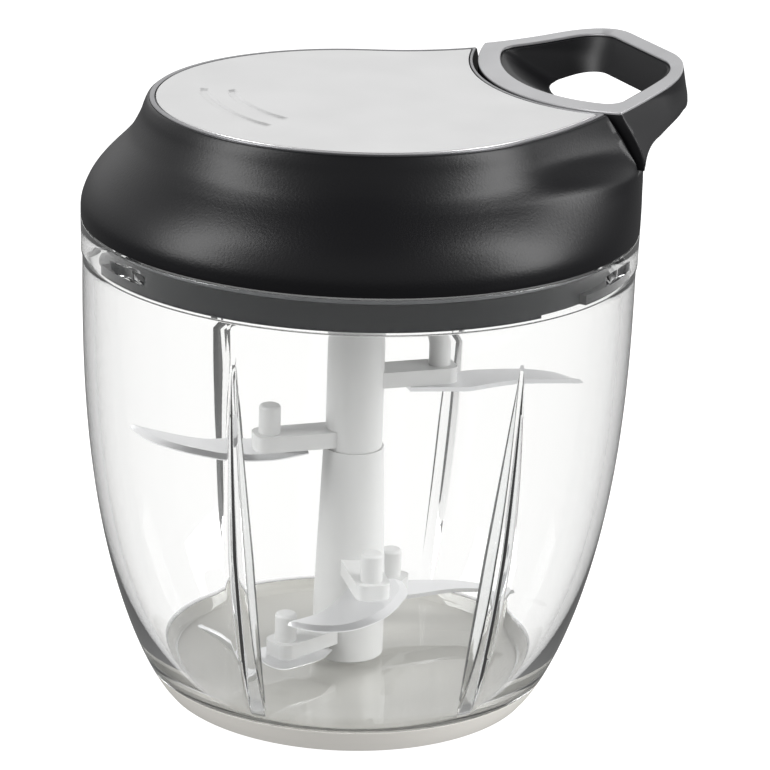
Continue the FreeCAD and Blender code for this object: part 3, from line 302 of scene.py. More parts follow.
def jar_points():
    """P(z, a) = ((R - d) cos a, (R - d) sin a, z) over a closed outline: outside, rim, bore and
    inside, where d is the depth of a fin or bayonet lug at that place."""
    up = FOOT_HEIGHT + 0.05 + (JAR_HEIGHT - FOOT_HEIGHT - 0.05) * np.linspace(0, 1, 40) ** 1.3
    in_cap = np.linspace(FOOT_FLOOR + 0.05, FOOT_HEIGHT + 0.05, 4)
    down = INNER_FLOOR + (RIM_LEDGE - INNER_FLOOR) * np.linspace(1, 0, 70) ** 1.3
    foot = soft_corners([(0, in_cap[0]), (jar_outer(in_cap[0]) - FOOT_WALL - 0.05, in_cap[0]),
                         (jar_outer(in_cap[-1]) - FOOT_WALL - 0.05, in_cap[-1]),
                         (jar_outer(up[0]), up[0])], 0.3, 3)
    wall = np.column_stack([jar_outer(up), up])
    rim = soft_corners([wall[-1], (JAR_RADIUS + RIM_STEP, JAR_HEIGHT), (RIM_RADIUS, RIM_TOP),
                        (RIM_BORE, RIM_TOP), (RIM_BORE, LUG_HIGH + 0.3)], 0.25, 4)
    lugs = [(RIM_BORE, z) for z in (LUG_HIGH + 0.05, LUG_HIGH - 0.1, LUG_HIGH - 0.35, LUG_LOW + 0.35,
                                    LUG_LOW + 0.1, LUG_LOW - 0.05)]
    ledge = soft_corners([(RIM_BORE, LUG_LOW - 0.3), (RIM_BORE, RIM_LEDGE), (jar_inner(RIM_LEDGE), RIM_LEDGE),
                          (jar_inner(down[1]), down[1])], 0.3, 4)
    inside = np.column_stack([jar_inner(down[2:-4]), down[2:-4]])
    cup = soft_corners([inside[-1], (jar_inner(INNER_FLOOR) - 0.3, INNER_FLOOR), (30, INNER_FLOOR),
                        (4, INNER_FLOOR), (0, INNER_FLOOR)], [0, 4, 0, 0, 0], 6)
    profile = np.vstack([foot, wall[1:], rim, lugs, ledge, inside, cup[1:]])
    r, z = profile[:, 0], profile[:, 1]
    first_inside = len(foot) + len(wall) - 1 + len(rim) + len(lugs) + len(ledge)
    angle, fin = fin_columns(np.clip(z, INNER_FLOOR, FIN_TOP))
    crest_slope = (jar_inner(FIN_TOP) - FIN_FOOT_RADIUS) / (FIN_TOP - INNER_FLOOR)
    crest = FIN_FOOT_RADIUS + (z - INNER_FLOOR) * crest_slope
    depth = np.clip(r - crest, 0, None)
    depth[:first_inside] = 0
    depth[(r < FIN_FOOT_RADIUS - 4)] = 0
    spread = np.abs((np.degrees(angle)[..., None] - LUG_AZIMUTHS + 180) % 360 - 180).min(-1)
    lug = ease((LUG_HALF_ANGLE + 0.25 - spread) / 0.5)
    lug_rows = np.zeros(len(r))
    start = len(foot) + len(wall) - 1 + len(rim)
    lug_rows[start:start + 6] = (0, 0.8, 1, 1, 0.8, 0)
    radius = r[:, None] - depth[:, None] * fin - LUG_DEPTH * lug * lug_rows[:, None]
    return np.stack([radius * np.cos(angle), radius * np.sin(angle), z[:, None] + 0 * angle], -1)


def foot_points():
    rise = np.linspace(0.8, FOOT_HEIGHT - 0.3, 6)
    outside = np.column_stack([jar_outer(rise), rise])
    inner = jar_outer(np.array([FOOT_HEIGHT, FOOT_FLOOR])) - FOOT_WALL
    lower = soft_corners([(0, 0), (FOOT_RADIUS + 0.2, 0), outside[1]], 0.7, 5)
    upper = soft_corners([outside[-1], (jar_outer(FOOT_HEIGHT), FOOT_HEIGHT), (inner[0], FOOT_HEIGHT),
                          (inner[1], FOOT_FLOOR), (0, FOOT_FLOOR)], 0.3, 4)
    return turned(np.vstack([lower, outside[2:-1], upper]))


# ------------------------------------------------------------------ lid
def top_height(x):
    """Height of the top surface: level, then an arc of the rise radius up to the handle's end."""
    return LID_TOP + RISE_RADIUS - np.sqrt(RISE_RADIUS ** 2 - np.maximum(x - RISE_START, 0) ** 2)


def lid_radius(azimuth, z):
    """Outline of the lid in plan: R = back + (corner - back) w. Low down w is a cosine blend over
    36..81 degrees, and higher up the cheeks run straight, w ~ 1/cos(shoulder - azimuth) - 1."""
    azimuth = np.abs((azimuth + 180) % 360 - 180)
    low = 0.5 * (1 + np.cos(np.pi * np.clip((azimuth - 36) / 45, 0, 1)))
    span = np.radians(np.maximum(SHOULDER_AZIMUTH - np.maximum(azimuth, 25), 0))
    full = math.radians(SHOULDER_AZIMUTH - CORNER_AZIMUTH)
    high = (1 / np.cos(span) - 1) / (1 / math.cos(full) - 1)
    weight = low + (high - low) * ease((z - DOCK_FLOOR) / 6)
    back, corner = smooth(z, STATION_Z, BACK_RADII), smooth(z, STATION_Z, CORNER_RADII)
    return back + (corner - back) * weight


OUTER_COLUMNS, DOCK_COLUMNS, CORNER_STEPS = 220, 56, 4


def plan_loop(radius_at, dock, corner=0.35):
    """Closed outline in plan: R(a) round the back, a small curve at each corner and the dock's arc,
    always with the same number of points. The corners are where R(a) meets the dock's circle."""
    low, high = 12.0, 75.0
    for _ in range(40):
        middle = (low + high) / 2
        r, a = float(radius_at(np.array(middle))), math.radians(middle)
        if math.hypot(r * math.cos(a) - DOCK_CENTRE, r * math.sin(a)) < dock:
            low = middle
        else:
            high = middle
    trim = math.degrees(corner / 55.0)
    azimuth = low + trim + (360 - 2 * low - 2 * trim) * np.linspace(0, 1, OUTER_COLUMNS)
    r = radius_at(azimuth)
    outer = np.column_stack([r * np.cos(np.radians(azimuth)), r * np.sin(np.radians(azimuth))])
    r = float(radius_at(np.array(low)))
    tip = np.array([r * math.cos(math.radians(low)), r * math.sin(math.radians(low))])
    swing = math.atan2(tip[1], DOCK_CENTRE - tip[0]) - corner / dock
    angle = np.linspace(-swing, swing, DOCK_COLUMNS)
    arc = np.column_stack([DOCK_CENTRE - dock * np.cos(angle), dock * np.sin(angle)])
    s = (np.arange(1, CORNER_STEPS + 1) / (CORNER_STEPS + 1))[:, None]

    def turn(a, p, b):
        return (1 - s) ** 2 * a + 2 * s * (1 - s) * p + s ** 2 * b

    return np.vstack([outer, turn(outer[-1], tip * (1, -1), arc[0]), arc, turn(arc[-1], tip, outer[0])])


def full_loop(z, inset, columns_from):
    """The lid's whole outline at one height, with its points at the azimuths of another loop's."""
    azimuth = np.degrees(np.arctan2(columns_from[:, 1], columns_from[:, 0]))
    r = lid_radius(azimuth, z) - inset
    front = np.arange(len(columns_from)) >= OUTER_COLUMNS
    edge = np.degrees(math.atan2(columns_from[0, 1], columns_from[0, 0]))
    azimuth[front] = np.linspace(-edge, edge, front.sum() + 2)[1:-1]
    r[front] = lid_radius(azimuth[front], z) - inset
    return np.column_stack([r * np.cos(np.radians(azimuth)), r * np.sin(np.radians(azimuth)), z + 0 * r])


def upper_loop(v, inset, low, drop):
    """The outline between the dock's floor (v=0) and the top (v=1); the top follows top_height(x)."""
    def height(azimuth):
        z = LID_TOP + 0 * azimuth
        for _ in range(6):
            z = top_height(lid_radius(azimuth, z) * np.cos(np.radians(azimuth)))
        return low + (z - drop - low) * v

    loop = plan_loop(lambda a: lid_radius(a, height(a)) - inset, DOCK_RADIUS + inset)
    azimuth = np.degrees(np.arctan2(loop[:, 1], loop[:, 0]))
    z = height(azimuth)
    front = np.arange(len(loop)) >= OUTER_COLUMNS
    z[front] = low + (top_height(loop[front, 0]) - drop - low) * v
    return np.column_stack([loop, z])


def prism_loop(inset, dock, drop):
    """Upright outline of the top's trim and plate, at a depth under the top surface."""
    corner_z = float(top_height(HANDLE_CORNER[0])) - LIP_DROP
    back = smooth(LID_TOP - LIP_DROP, STATION_Z, BACK_RADII)
    corner = smooth(corner_z, STATION_Z, CORNER_RADII)

    def radius_at(azimuth):
        rim, low_back = lid_radius(azimuth, LID_TOP), smooth(LID_TOP, STATION_Z, BACK_RADII)
        base = smooth(LID_TOP, STATION_Z, CORNER_RADII)
        return back + (rim - low_back) * (corner - back) / (base - low_back) - inset

    loop = plan_loop(radius_at, dock)
    return np.column_stack([loop, top_height(loop[:, 0]) - drop])


def to_centre(loop, shares, drop):
    """Rows that shrink a loop towards a point of the top and stay at that depth under it."""
    centre = np.array([-8.0, 0.0])
    rows = []
    for share in shares:
        plan = centre + (loop[:, :2] - centre) * share
        rows.append(np.column_stack([plan, top_height(plan[:, 0]) - drop]))
    return rows


def lid_points():
    """Grid of closed outlines: up the outside from the seam, across the dock's floor, up to the
    lip round the trim, over the deck under the plate, and back down the inside."""
    foot = upper_loop(0.0, 0.0, DOCK_FLOOR, LIP_DROP)
    front = (np.arange(len(foot)) >= OUTER_COLUMNS)[:, None]
    rows = [full_loop(SEAM, 0.35, foot), full_loop(SEAM + 0.12, 0.08, foot)]
    rows += [full_loop(z, 0.0, foot) for z in np.linspace(SEAM + 0.4, DOCK_FLOOR - 0.7, 22)]
    for lift, inset in ((-0.35, 0.06), (-0.12, 0.22), (0.0, 0.5)):
        edge = full_loop(DOCK_FLOOR + lift, 0.0, foot)
        drawn_in = full_loop(DOCK_FLOOR + lift, inset, foot)
        rows.append(np.where(front, drawn_in, edge))
    rows.append(foot)
    rows += [upper_loop(v, 0.0, DOCK_FLOOR, LIP_DROP) for v in np.linspace(0.04, 0.965, 20)]
    rows += [upper_loop(0.985, 0.04, DOCK_FLOOR, LIP_DROP), upper_loop(1.0, 0.16, DOCK_FLOOR, LIP_DROP)]
    rim = prism_loop(TRIM_INSET - 0.05, DOCK_RADIUS + 0.1, LIP_DROP)
    deck = prism_loop(TRIM_INSET - 0.05, DOCK_RADIUS + 0.1, TRIM_DEPTH)
    rows += [rim, deck] + to_centre(deck, (0.96, 0.85, 0.7, 0.5, 0.3, 0.12, 0.0), TRIM_DEPTH)
    roof = upper_loop(1.0, LID_WALL, DOCK_FLOOR - LID_WALL, CEILING_DROP)
    rows += to_centre(roof, (0.0, 0.12, 0.3, 0.5, 0.7, 0.85, 0.96), CEILING_DROP)
    rows += [upper_loop(v, LID_WALL, DOCK_FLOOR - LID_WALL, CEILING_DROP) for v in np.linspace(1, 0, 9)]
    rows += [full_loop(z, LID_WALL, foot) for z in np.linspace(DOCK_FLOOR - LID_WALL, SEAM, 8)]
    return np.stack(rows)


def trim_points():
    inner_dock = DOCK_RADIUS + 1.0 - PLATE_GAP
    rows = [(0.0, DOCK_RADIUS + 0.1, TRIM_DEPTH), (0.0, DOCK_RADIUS + 0.1, 0.15),
            (0.13, DOCK_RADIUS + 0.2, 0.0), (TRIM_WIDTH - 0.13, inner_dock - 0.1, 0.0),
            (TRIM_WIDTH, inner_dock, 0.12), (TRIM_WIDTH, inner_dock, TRIM_DEPTH)]
    return np.stack([prism_loop(TRIM_INSET + inset, dock, drop) for inset, dock, drop in rows])


# debossed arcs on the plate: azimuths of their ends, radii there and in the middle
GROOVES = (((149.8, 170.8, 205.8), (35.2, 32.8, 32.4)), ((149.8, 176.0, 202.8), (28.9, 26.4, 25.6)))
GROOVE_HALF, GROOVE_DEPTH = 1.0, 0.35


def groove_depth(x, y):
    """Depth of the arcs at a place: full inside GROOVE_HALF of the arc's middle line, with round ends."""
    r, azimuth = np.hypot(x, y), np.degrees(np.arctan2(y, x)) % 360
    depth = np.zeros(r.shape)
    for ends, radii in GROOVES:
        nearest = np.clip(azimuth, ends[0], ends[-1])
        middle = smooth(nearest, ends, radii)
        along = np.radians(azimuth - nearest) * r
        distance = np.hypot(r - middle, along)
        depth = np.maximum(depth, GROOVE_DEPTH * ease((GROOVE_HALF + 0.12 - distance) / 0.4))
    return depth


def plate_points():
    """Rows shrink the plate's outline towards the jar's axis; rows are close together over the arcs."""
    inset, dock = TRIM_INSET + TRIM_WIDTH + PLATE_GAP, DOCK_RADIUS + 1.0
    edge = prism_loop(inset + 0.12, dock + 0.12, 0.0)
    shares = np.concatenate([np.linspace(0.995, 0.83, 8), np.linspace(0.82, 0.53, 84),
                             np.linspace(0.5, 0, 9)])
    rows = []
    for share in shares:
        plan = edge[:, :2] * share
        rows.append(np.column_stack([plan, top_height(plan[:, 0]) - groove_depth(plan[:, 0], plan[:, 1])]))
    under = [prism_loop(inset, dock, PLATE_DEPTH)]
    for share in (0.9, 0.6, 0.3, 0.0):
        plan = under[0][:, :2] * share
        under.append(np.column_stack([plan, top_height(plan[:, 0]) - PLATE_DEPTH]))
    return np.stack(under[::-1] + [prism_loop(inset, dock, 0.12), edge] + rows)


# ------------------------------------------------------------------ pull handle
SIDE_COLUMNS, END_CORNER_COLUMNS, END_COLUMNS, NEAR_COLUMNS, ARC_COLUMNS = 24, 12, 11, 7, 54
ALONG = np.array([math.cos(SIDE_SLOPE), -math.sin(SIDE_SLOPE)])
ACROSS = np.array([math.sin(SIDE_SLOPE), math.cos(SIDE_SLOPE)])
CORNER_TRIM = math.tan((math.pi / 2 - SIDE_SLOPE) / 2)     # of an end corner's radius


def quad_curve(a, p, b, count, weight=1.0):
    """((1-t)^2 a + 2t(1-t) w p + t^2 b) / ((1-t)^2 + 2t(1-t) w + t^2), t in 0..1."""
    t = np.linspace(0, 1, count)[:, None]
    middle = 2 * t * (1 - t) * weight
    return ((1 - t) ** 2 * a + middle * p + t ** 2 * b) / ((1 - t) ** 2 + middle + t ** 2)


def ring_loop(near, far, radius, near_trim, far_trim):
    """Outline with straight sides and end and a round lid side about the dock's centre: near and
    far are its corners on the +Y side, cut back by the trims and joined by small curves. Columns
    run side, end corner, end, end corner, side, near corner, arc, near corner."""
    mirror = np.array([1, -1])
    along = (far - near) / np.linalg.norm(far - near)
    start, stop = near + along * near_trim, far - along * far_trim
    side = start + (stop - start) * np.linspace(0, 1, SIDE_COLUMNS)[:, None]
    end_top = far - np.array([0, far_trim])
    # this weight makes the curve a round arc
    weight = np.linalg.norm(end_top - stop) / (2 * far_trim)
    corner = quad_curve(stop, far, end_top, END_CORNER_COLUMNS, weight)[1:]
    end_y = np.linspace(end_top[1], -end_top[1], END_COLUMNS)
    end = np.column_stack([np.full(END_COLUMNS, far[0]), end_y])[1:-1]
    swing = math.atan2(near[1], DOCK_CENTRE - near[0]) - near_trim / radius
    angle = np.linspace(-swing, swing, ARC_COLUMNS)
    arc = np.column_stack([DOCK_CENTRE - radius * np.cos(angle), radius * np.sin(angle)])
    turn = quad_curve(arc[-1], near, start, NEAR_COLUMNS)[1:-1]
    half = np.vstack([side, corner])
    return np.vstack([half, end, (half * mirror)[::-1], (turn * mirror)[::-1], arc, turn])


def handle_outline():
    """The handle's outline at its top, with each point's outward normal and distance from the corner."""
    length = (HANDLE_END - HANDLE_CORNER[0]) / ALONG[0]
    far = HANDLE_CORNER + ALONG * length
    loop = ring_loop(HANDLE_CORNER, far, DOCK_RADIUS - HANDLE_GAP, 0.5, END_CORNER * CORNER_TRIM)
    tangent = np.roll(loop, -1, 0) - np.roll(loop, 1, 0)
    normal = np.column_stack([tangent[:, 1], -tangent[:, 0]])
    normal /= np.linalg.norm(normal, axis=1)[:, None]
    normal *= np.sign(np.sum(normal * (loop - (55, 0)), 1))[:, None]
    return loop, normal, np.hypot(loop[:, 0] - HANDLE_CORNER[0], np.abs(loop[:, 1]) - HANDLE_CORNER[1])


def handle_outer(z):
    """The outside at height z of each column: near the lid it flares with the lid's cheek, at the
    end it has a little draft, and the offset blends from one to the other over FLARE_RUN."""
    loop, normal, distance = handle_outline()
    corner_top = smooth(top_height(HANDLE_CORNER[0]), STATION_Z, CORNER_RADII)
    corner_flare = (smooth(z, STATION_Z, CORNER_RADII) - corner_top) * CHEEK_SHARE
    end_flare = np.minimum(0.2 * (top_height(loop[:, 0]) - z), 1.3)
    offset = corner_flare + (end_flare - corner_flare) * ease(distance / FLARE_RUN)
    side_normal = ACROSS * np.column_stack([np.ones(len(loop)), np.sign(loop[:, 1] + 1e-9)])
    moved = loop + normal * offset[:, None]
    # the corner slides along the dock's circle as it flares
    radius, back = np.hypot(*HANDLE_CORNER) + corner_flare, DOCK_RADIUS - HANDLE_GAP
    x = (radius ** 2 + DOCK_CENTRE ** 2 - back ** 2) / (2 * DOCK_CENTRE)
    y = np.sqrt(radius ** 2 - x ** 2)
    corner = np.column_stack([x, y * np.sign(loop[:, 1] + 1e-9)])
    plain = HANDLE_CORNER * np.column_stack([np.ones(len(loop)), np.sign(loop[:, 1] + 1e-9)])
    pull = corner - plain - side_normal * corner_flare[:, None]
    near = np.clip(1 - distance / CORNER_RUN, 0, 1)[:, None] ** 2
    first_arc = len(loop) - ARC_COLUMNS - 2 * (NEAR_COLUMNS - 2)
    on_lid_side = np.arange(len(loop)) >= first_arc
    moved = moved + pull * near
    # lid side: an arc about the dock's centre between the two corners
    swing_top = np.arctan2(HANDLE_CORNER[1], DOCK_CENTRE - HANDLE_CORNER[0])
    swing = np.arctan2(y, DOCK_CENTRE - x)
    angle = np.arctan2(loop[:, 1], DOCK_CENTRE - loop[:, 0]) / swing_top * swing
    reach = np.hypot(loop[:, 0] - DOCK_CENTRE, loop[:, 1])
    arc = np.column_stack([DOCK_CENTRE - reach * np.cos(angle), reach * np.sin(angle)])
    return np.where(on_lid_side[:, None], arc, moved)


def opening_loop(left, end, inset, corner_radius=OPENING_CORNER):
    """The finger opening's outline at one height."""
    corner, radius = HANDLE_CORNER - ACROSS * inset, DOCK_CENTRE - left
    dx = corner - (DOCK_CENTRE, 0)
    half_b = float(dx @ ALONG)
    reach = -half_b - math.sqrt(half_b ** 2 - (float(dx @ dx) - radius ** 2))
    near, far = corner + ALONG * reach, corner + ALONG * ((end - corner[0]) / ALONG[0])
    return ring_loop(near, far, radius, NEAR_CORNER_TRIM, corner_radius * CORNER_TRIM)


def opening_at(z):
    """The body's opening at height z of each column, straight between its outlines at four levels."""
    top_left, end = DOCK_CENTRE - (DOCK_RADIUS - HANDLE_GAP - LID_RAIL), HANDLE_END - END_RAIL
    end_level = top_height(end)
    levels, loops = [], []
    for level, left, corner in ((124.0, SCOOP_LIP[0], OPENING_FOOT_CORNER),
                                (SCOOP_LIP[1], SCOOP_LIP[0], OPENING_FOOT_CORNER),
                                (SCOOP_TOP, top_left, OPENING_CORNER), (150.0, top_left, OPENING_CORNER)):
        drop = max(level, SCOOP_LIP[1])
        levels.append(level)
        inset = RAIL + SIDE_DRAFT * (139.0 - min(drop, 139.0))
        loops.append(opening_loop(left, end - END_DRAFT * (end_level - drop), inset, corner))
    levels, loops = np.array(levels), np.stack(loops)
    k = np.clip(np.searchsorted(levels, z) - 1, 0, 2)
    t = ((z - levels[k]) / (levels[k + 1] - levels[k]))[:, None]
    columns = np.arange(loops.shape[1])
    return loops[k, columns] * (1 - t) + loops[k + 1, columns] * t


def underside(x):
    """Height of the handle's underside at x: its foot stands level in the dock, then a curve, a
    straight run and the curled lip at the end."""
    p = np.array(UNDERSIDE)
    first = quad_curve(p[0], 2 * p[1] - (p[0] + p[2]) / 2, p[2], 24)
    last = quad_curve(p[3], 2 * p[4] - (p[3] + p[5]) / 2, p[5], 24)
    path = np.vstack([first, last])
    return np.interp(x, path[:, 0], path[:, 1])


def with_height(plan, z):
    return np.column_stack([plan, z])


def handle_body_points():
    """Closed rows round the ring's section: down the outside, across the underside, up the opening's
    wall with its scoop and its step under the frame."""
    loop, _, _ = handle_outline()
    top = top_height(loop[:, 0]) - FRAME_DEPTH
    bottom = underside(loop[:, 0])
    for _ in range(6):
        bottom = underside(handle_outer(bottom)[:, 0])
    rows = []
    for v in np.concatenate([[0.0], np.linspace(0.02, 0.94, 16), [0.98]]):
        z = top + (bottom - top) * v
        rows.append(with_height(handle_outer(z), z))
    outer_foot = handle_outer(bottom)
    inner_foot = opening_at(bottom)
    for _ in range(4):
        inner_foot = opening_at(underside(inner_foot[:, 0]))
    for w in (0.04, 0.12, 0.3, 0.5, 0.7, 0.9, 1.0):
        plan = outer_foot + (inner_foot - outer_foot) * w
        rows.append(with_height(plan, underside(plan[:, 0])))
    inner_bottom = underside(inner_foot[:, 0])
    frame_left = DOCK_CENTRE - (DOCK_RADIUS - HANDLE_GAP - LID_RAIL)
    frame_plan = opening_loop(frame_left, HANDLE_END - END_RAIL, RAIL)
    frame_top = top_height(frame_plan[:, 0]) - FRAME_DEPTH
    step = frame_top - 0.3
    levels = [np.full(len(loop), SCOOP_LIP[1] - 0.4), np.full(len(loop), SCOOP_LIP[1] + 0.3)]
    for w in np.linspace(0.15, 1.0, 8):
        levels.append(SCOOP_LIP[1] + (step - SCOOP_LIP[1]) * w)
    for level in levels:
        z = np.clip(level, inner_bottom, step)
        rows.append(with_height(opening_at(z), z))
    rows += [with_height(frame_plan, step), with_height(frame_plan, frame_top)]
    return np.stack(rows)


def frame_points():
    """Rows round the light frame's flat section, which lies on the handle and follows top_height(x)."""
    left, end = DOCK_CENTRE - (DOCK_RADIUS - HANDLE_GAP - LID_RAIL), HANDLE_END - END_RAIL
    loop, normal, _ = handle_outline()
    inner, soft = opening_loop(left, end, RAIL), opening_loop(left - 0.18, end + 0.18, RAIL - 0.18)
    rows = []
    for plan, drop in ((loop, FRAME_DEPTH), (loop, 0.2), (loop - normal * 0.18, 0.0), (soft, 0.0),
                       (inner, 0.2), (inner, FRAME_DEPTH)):
        rows.append(with_height(plan, top_height(plan[:, 0]) - drop))
    return np.stack(rows)


def along_x(profile, y, z, columns=48):
    """Surface of revolution about a line along X of (x, r) points."""
    angle = np.arange(columns) * (2 * math.pi / columns)
    x, r = profile[:, 0][:, None], profile[:, 1][:, None]
    return np.stack([x + 0 * angle, y + r * np.cos(angle), z + r * np.sin(angle)], -1)


def eyelet_points():
    """Metal eyelet in the dock's wall: a flange that stands a little proud, and a flared mouth."""
    face = DOCK_CENTRE - DOCK_RADIUS
    profile = soft_corners([(face - 3.6, 1.5), (face + 0.1, 1.5), (face + 0.45, 2.9), (face + 0.45, 4.0),
                            (face - 0.2, 4.1), (face - 0.2, 2.9), (face - 3.6, 2.9), (face - 3.6, 1.5)], 0.3, 5)
    return along_x(profile, 0.0, CORD_LEVEL)


# ------------------------------------------------------------------ blades
def through(points, count):
    """Cubic curve through the points, in even steps of the distance along them."""
    p = np.asarray(points, float)
    distance = np.append(0, np.cumsum(np.linalg.norm(np.diff(p, axis=0), axis=1)))
    t = np.linspace(0, distance[-1], count)
    return np.column_stack([smooth(t, distance, p[:, 0]), smooth(t, distance, p[:, 1])])


def bent(x, height, start, angle):
    """Sheet bent up past x = start: with f = min(run / R, angle), x' = start + (R - h) sin f + rest
    cos(angle) and z' = R - (R - h) cos f + rest sin(angle), where rest is the run past the arc."""
    angle = math.radians(angle)
    run = np.maximum(x - start, 0)
    turn, rest = np.minimum(run / BEND_RADIUS, angle), np.maximum(run - BEND_RADIUS * angle, 0)
    return (np.where(angle > 0, np.minimum(x, start), x) + (BEND_RADIUS - height) * np.sin(turn)
            + (rest * math.cos(angle) if angle else 0),
            BEND_RADIUS - (BEND_RADIUS - height) * np.cos(turn) + (rest * math.sin(angle) if angle else 0))


def blade_points(azimuth, underside, outline, turn, scale, bend_start, bend_angle):
    """P(s, u): s runs round the section, from the cutting edge up the bevel, over the top to the back
    and home underneath; u runs from the root to the tip. Both ends shrink to a point."""
    edge, back = (through(side, BLADE_COLUMNS) * scale for side in outline)
    width = np.linalg.norm(back - edge, axis=1)
    bevel = np.minimum(BLADE_BEVEL / np.maximum(width, 1e-6), 0.7)
    top = bevel + (1 - bevel) * np.array([0, 0.25, 0.5, 0.75, 1])[:, None]
    under = np.broadcast_to(np.array([1, 0.75, 0.5, 0.25, 0])[:, None], top.shape)
    share = np.vstack([0 * bevel, top, under])
    height = np.array([EDGE_SHARE] + [1] * 5 + [0] * 5)[:, None] * BLADE_THICKNESS + 0 * share
    plan = edge + (back - edge) * share[..., None]
    plan = np.concatenate([plan[:, :1].mean(0, keepdims=True) + 0 * plan[:, :1], plan], axis=1)
    height = np.hstack([0 * height[:, :1] + 0.5 * BLADE_THICKNESS, height])
    height[:, -1] = EDGE_SHARE * BLADE_THICKNESS
    x, z = bent(plan[..., 0], height, bend_start, bend_angle)
    y, low = plan[..., 1], underside - BLADE_THICKNESS + BLADE_LIFT
    turn, azimuth = math.radians(turn), math.radians(azimuth)
    x, y = x * math.cos(turn) - y * math.sin(turn) + PEG_OFFSET, x * math.sin(turn) + y * math.cos(turn)
    return np.stack([x * math.cos(azimuth) - y * math.sin(azimuth),
                     x * math.sin(azimuth) + y * math.cos(azimuth), z + low], -1)


# ------------------------------------------------------------------ camera and light
VIEW_TURN = math.radians(-24.2)     # the view's turn about the jar's axis
FLOOR_REACH, FLOOR_LEVEL = 4.0, -0.0005     # metres


def add_camera():
    turn = Matrix.Rotation(VIEW_TURN, 3, "Z")
    yaw, pitch, roll = 0.0088, 0.3278, 0.0336
    ahead = Vector((math.sin(yaw) * math.cos(pitch), math.cos(yaw) * math.cos(pitch), -math.sin(pitch)))
    right = Vector((math.cos(yaw), -math.sin(yaw), 0))
    up = right.cross(ahead)
    rolled_right = math.cos(roll) * right + math.sin(roll) * up
    rolled_up = math.cos(roll) * up - math.sin(roll) * right
    camera = bpy.data.objects.new("camera", bpy.data.cameras.new("camera"))
    place = Matrix((turn @ rolled_right, turn @ rolled_up, turn @ -ahead)).transposed().to_4x4()
    place.translation = turn @ Vector((0, -0.7486, 0.3250))
    camera.matrix_world = place
    camera.data.lens, camera.data.sensor_width, camera.data.clip_start = 165.88, 36, 0.01
    bpy.context.scene.collection.objects.link(camera)
    bpy.context.scene.camera = camera


def softbox(name, azimuth, elevation, distance, width, height, watts):
    """Area lamp that looks at the jar; azimuth is to the right of the camera's side, in degrees."""
    a, e = math.radians(azimuth), math.radians(elevation)
    turn = Matrix.Rotation(VIEW_TURN, 3, "Z")
    out = turn @ Vector((math.sin(a) * math.cos(e), -math.cos(a) * math.cos(e), math.sin(e)))
    lamp = bpy.data.lights.new(name, "AREA")
    lamp.shape, lamp.size, lamp.size_y, lamp.energy = "RECTANGLE", width, height, watts
    obj = bpy.data.objects.new(name, lamp)
    obj.location = Vector((0, 0, 0.08)) + out * distance
    obj.rotation_euler = out.to_track_quat("Z", "Y").to_euler()
    obj.visible_transmission = False
    bpy.context.scene.collection.objects.link(obj)


def add_world():
    """White where the camera looks at it. Reflections see a white band a little above the horizon,
    brightest behind the jar; rays through clear plastic see a wider and brighter white, which makes up for what
    the walls reflect away; and what is matt is lit softly from all round."""
    world = bpy.data.worlds.new("studio")
    bpy.context.scene.world = world
    world.use_nodes = True
    nodes, link = world.node_tree.nodes, world.node_tree.links.new
    coords, turn = nodes.new("ShaderNodeTexCoord"), nodes.new("ShaderNodeMapping")
    turn.inputs["Rotation"].default_value = (0, 0, -VIEW_TURN)
    split = nodes.new("ShaderNodeSeparateXYZ")
    link(coords.outputs["Generated"], turn.inputs["Vector"])
    link(turn.outputs["Vector"], split.inputs["Vector"])

    def ramp(output, start, end, low, high):
        node = nodes.new("ShaderNodeMapRange")
        node.interpolation_type = "SMOOTHSTEP"
        for socket, value in (("From Min", start), ("From Max", end), ("To Min", low), ("To Max", high)):
            node.inputs[socket].default_value = value
        link(split.outputs[output], node.inputs["Value"])
        return node.outputs["Result"]

    def combine(operation, a, b):
        node = nodes.new("ShaderNodeMath")
        node.operation = operation
        link(a, node.inputs[0])
        link(b, node.inputs[1])
        return node.outputs["Value"]

    table = ramp("Z", -0.5, -1.0, 0.0, 0.3)
    reflected, soft, through, plain = (nodes.new("ShaderNodeBackground") for _ in range(4))
    band = combine("MULTIPLY", ramp("Z", -0.2, 0.28, 0.15, 1.0), ramp("Z", 0.45, 0.85, 1.0, 0.15))
    studio = combine("MULTIPLY", band, ramp("Y", -0.2, 1.0, 0.38, 1.05))
    link(combine("ADD", studio, table), reflected.inputs["Strength"])
    link(ramp("Y", -1.0, 0.8, 0.92, 1.17), through.inputs["Strength"])
    link(combine("ADD", ramp("X", -0.1, 0.8, 0.50, 0.95), table), soft.inputs["Strength"])
    for background in (reflected, soft, through, plain):
        background.inputs["Color"].default_value = (1, 1, 1, 1)
    path = nodes.new("ShaderNodeLightPath")
    shader = reflected.outputs["Background"]
    for ray, background in (("Is Transmission Ray", through), ("Diffuse Depth", soft),
                            ("Is Camera Ray", plain)):
        mix = nodes.new("ShaderNodeMixShader")
        link(path.outputs[ray], mix.inputs["Fac"])
        link(shader, mix.inputs[1])
        link(background.outputs["Background"], mix.inputs[2])
        shader = mix.outputs["Shader"]
    link(shader, nodes["World Output"].inputs["Surface"])


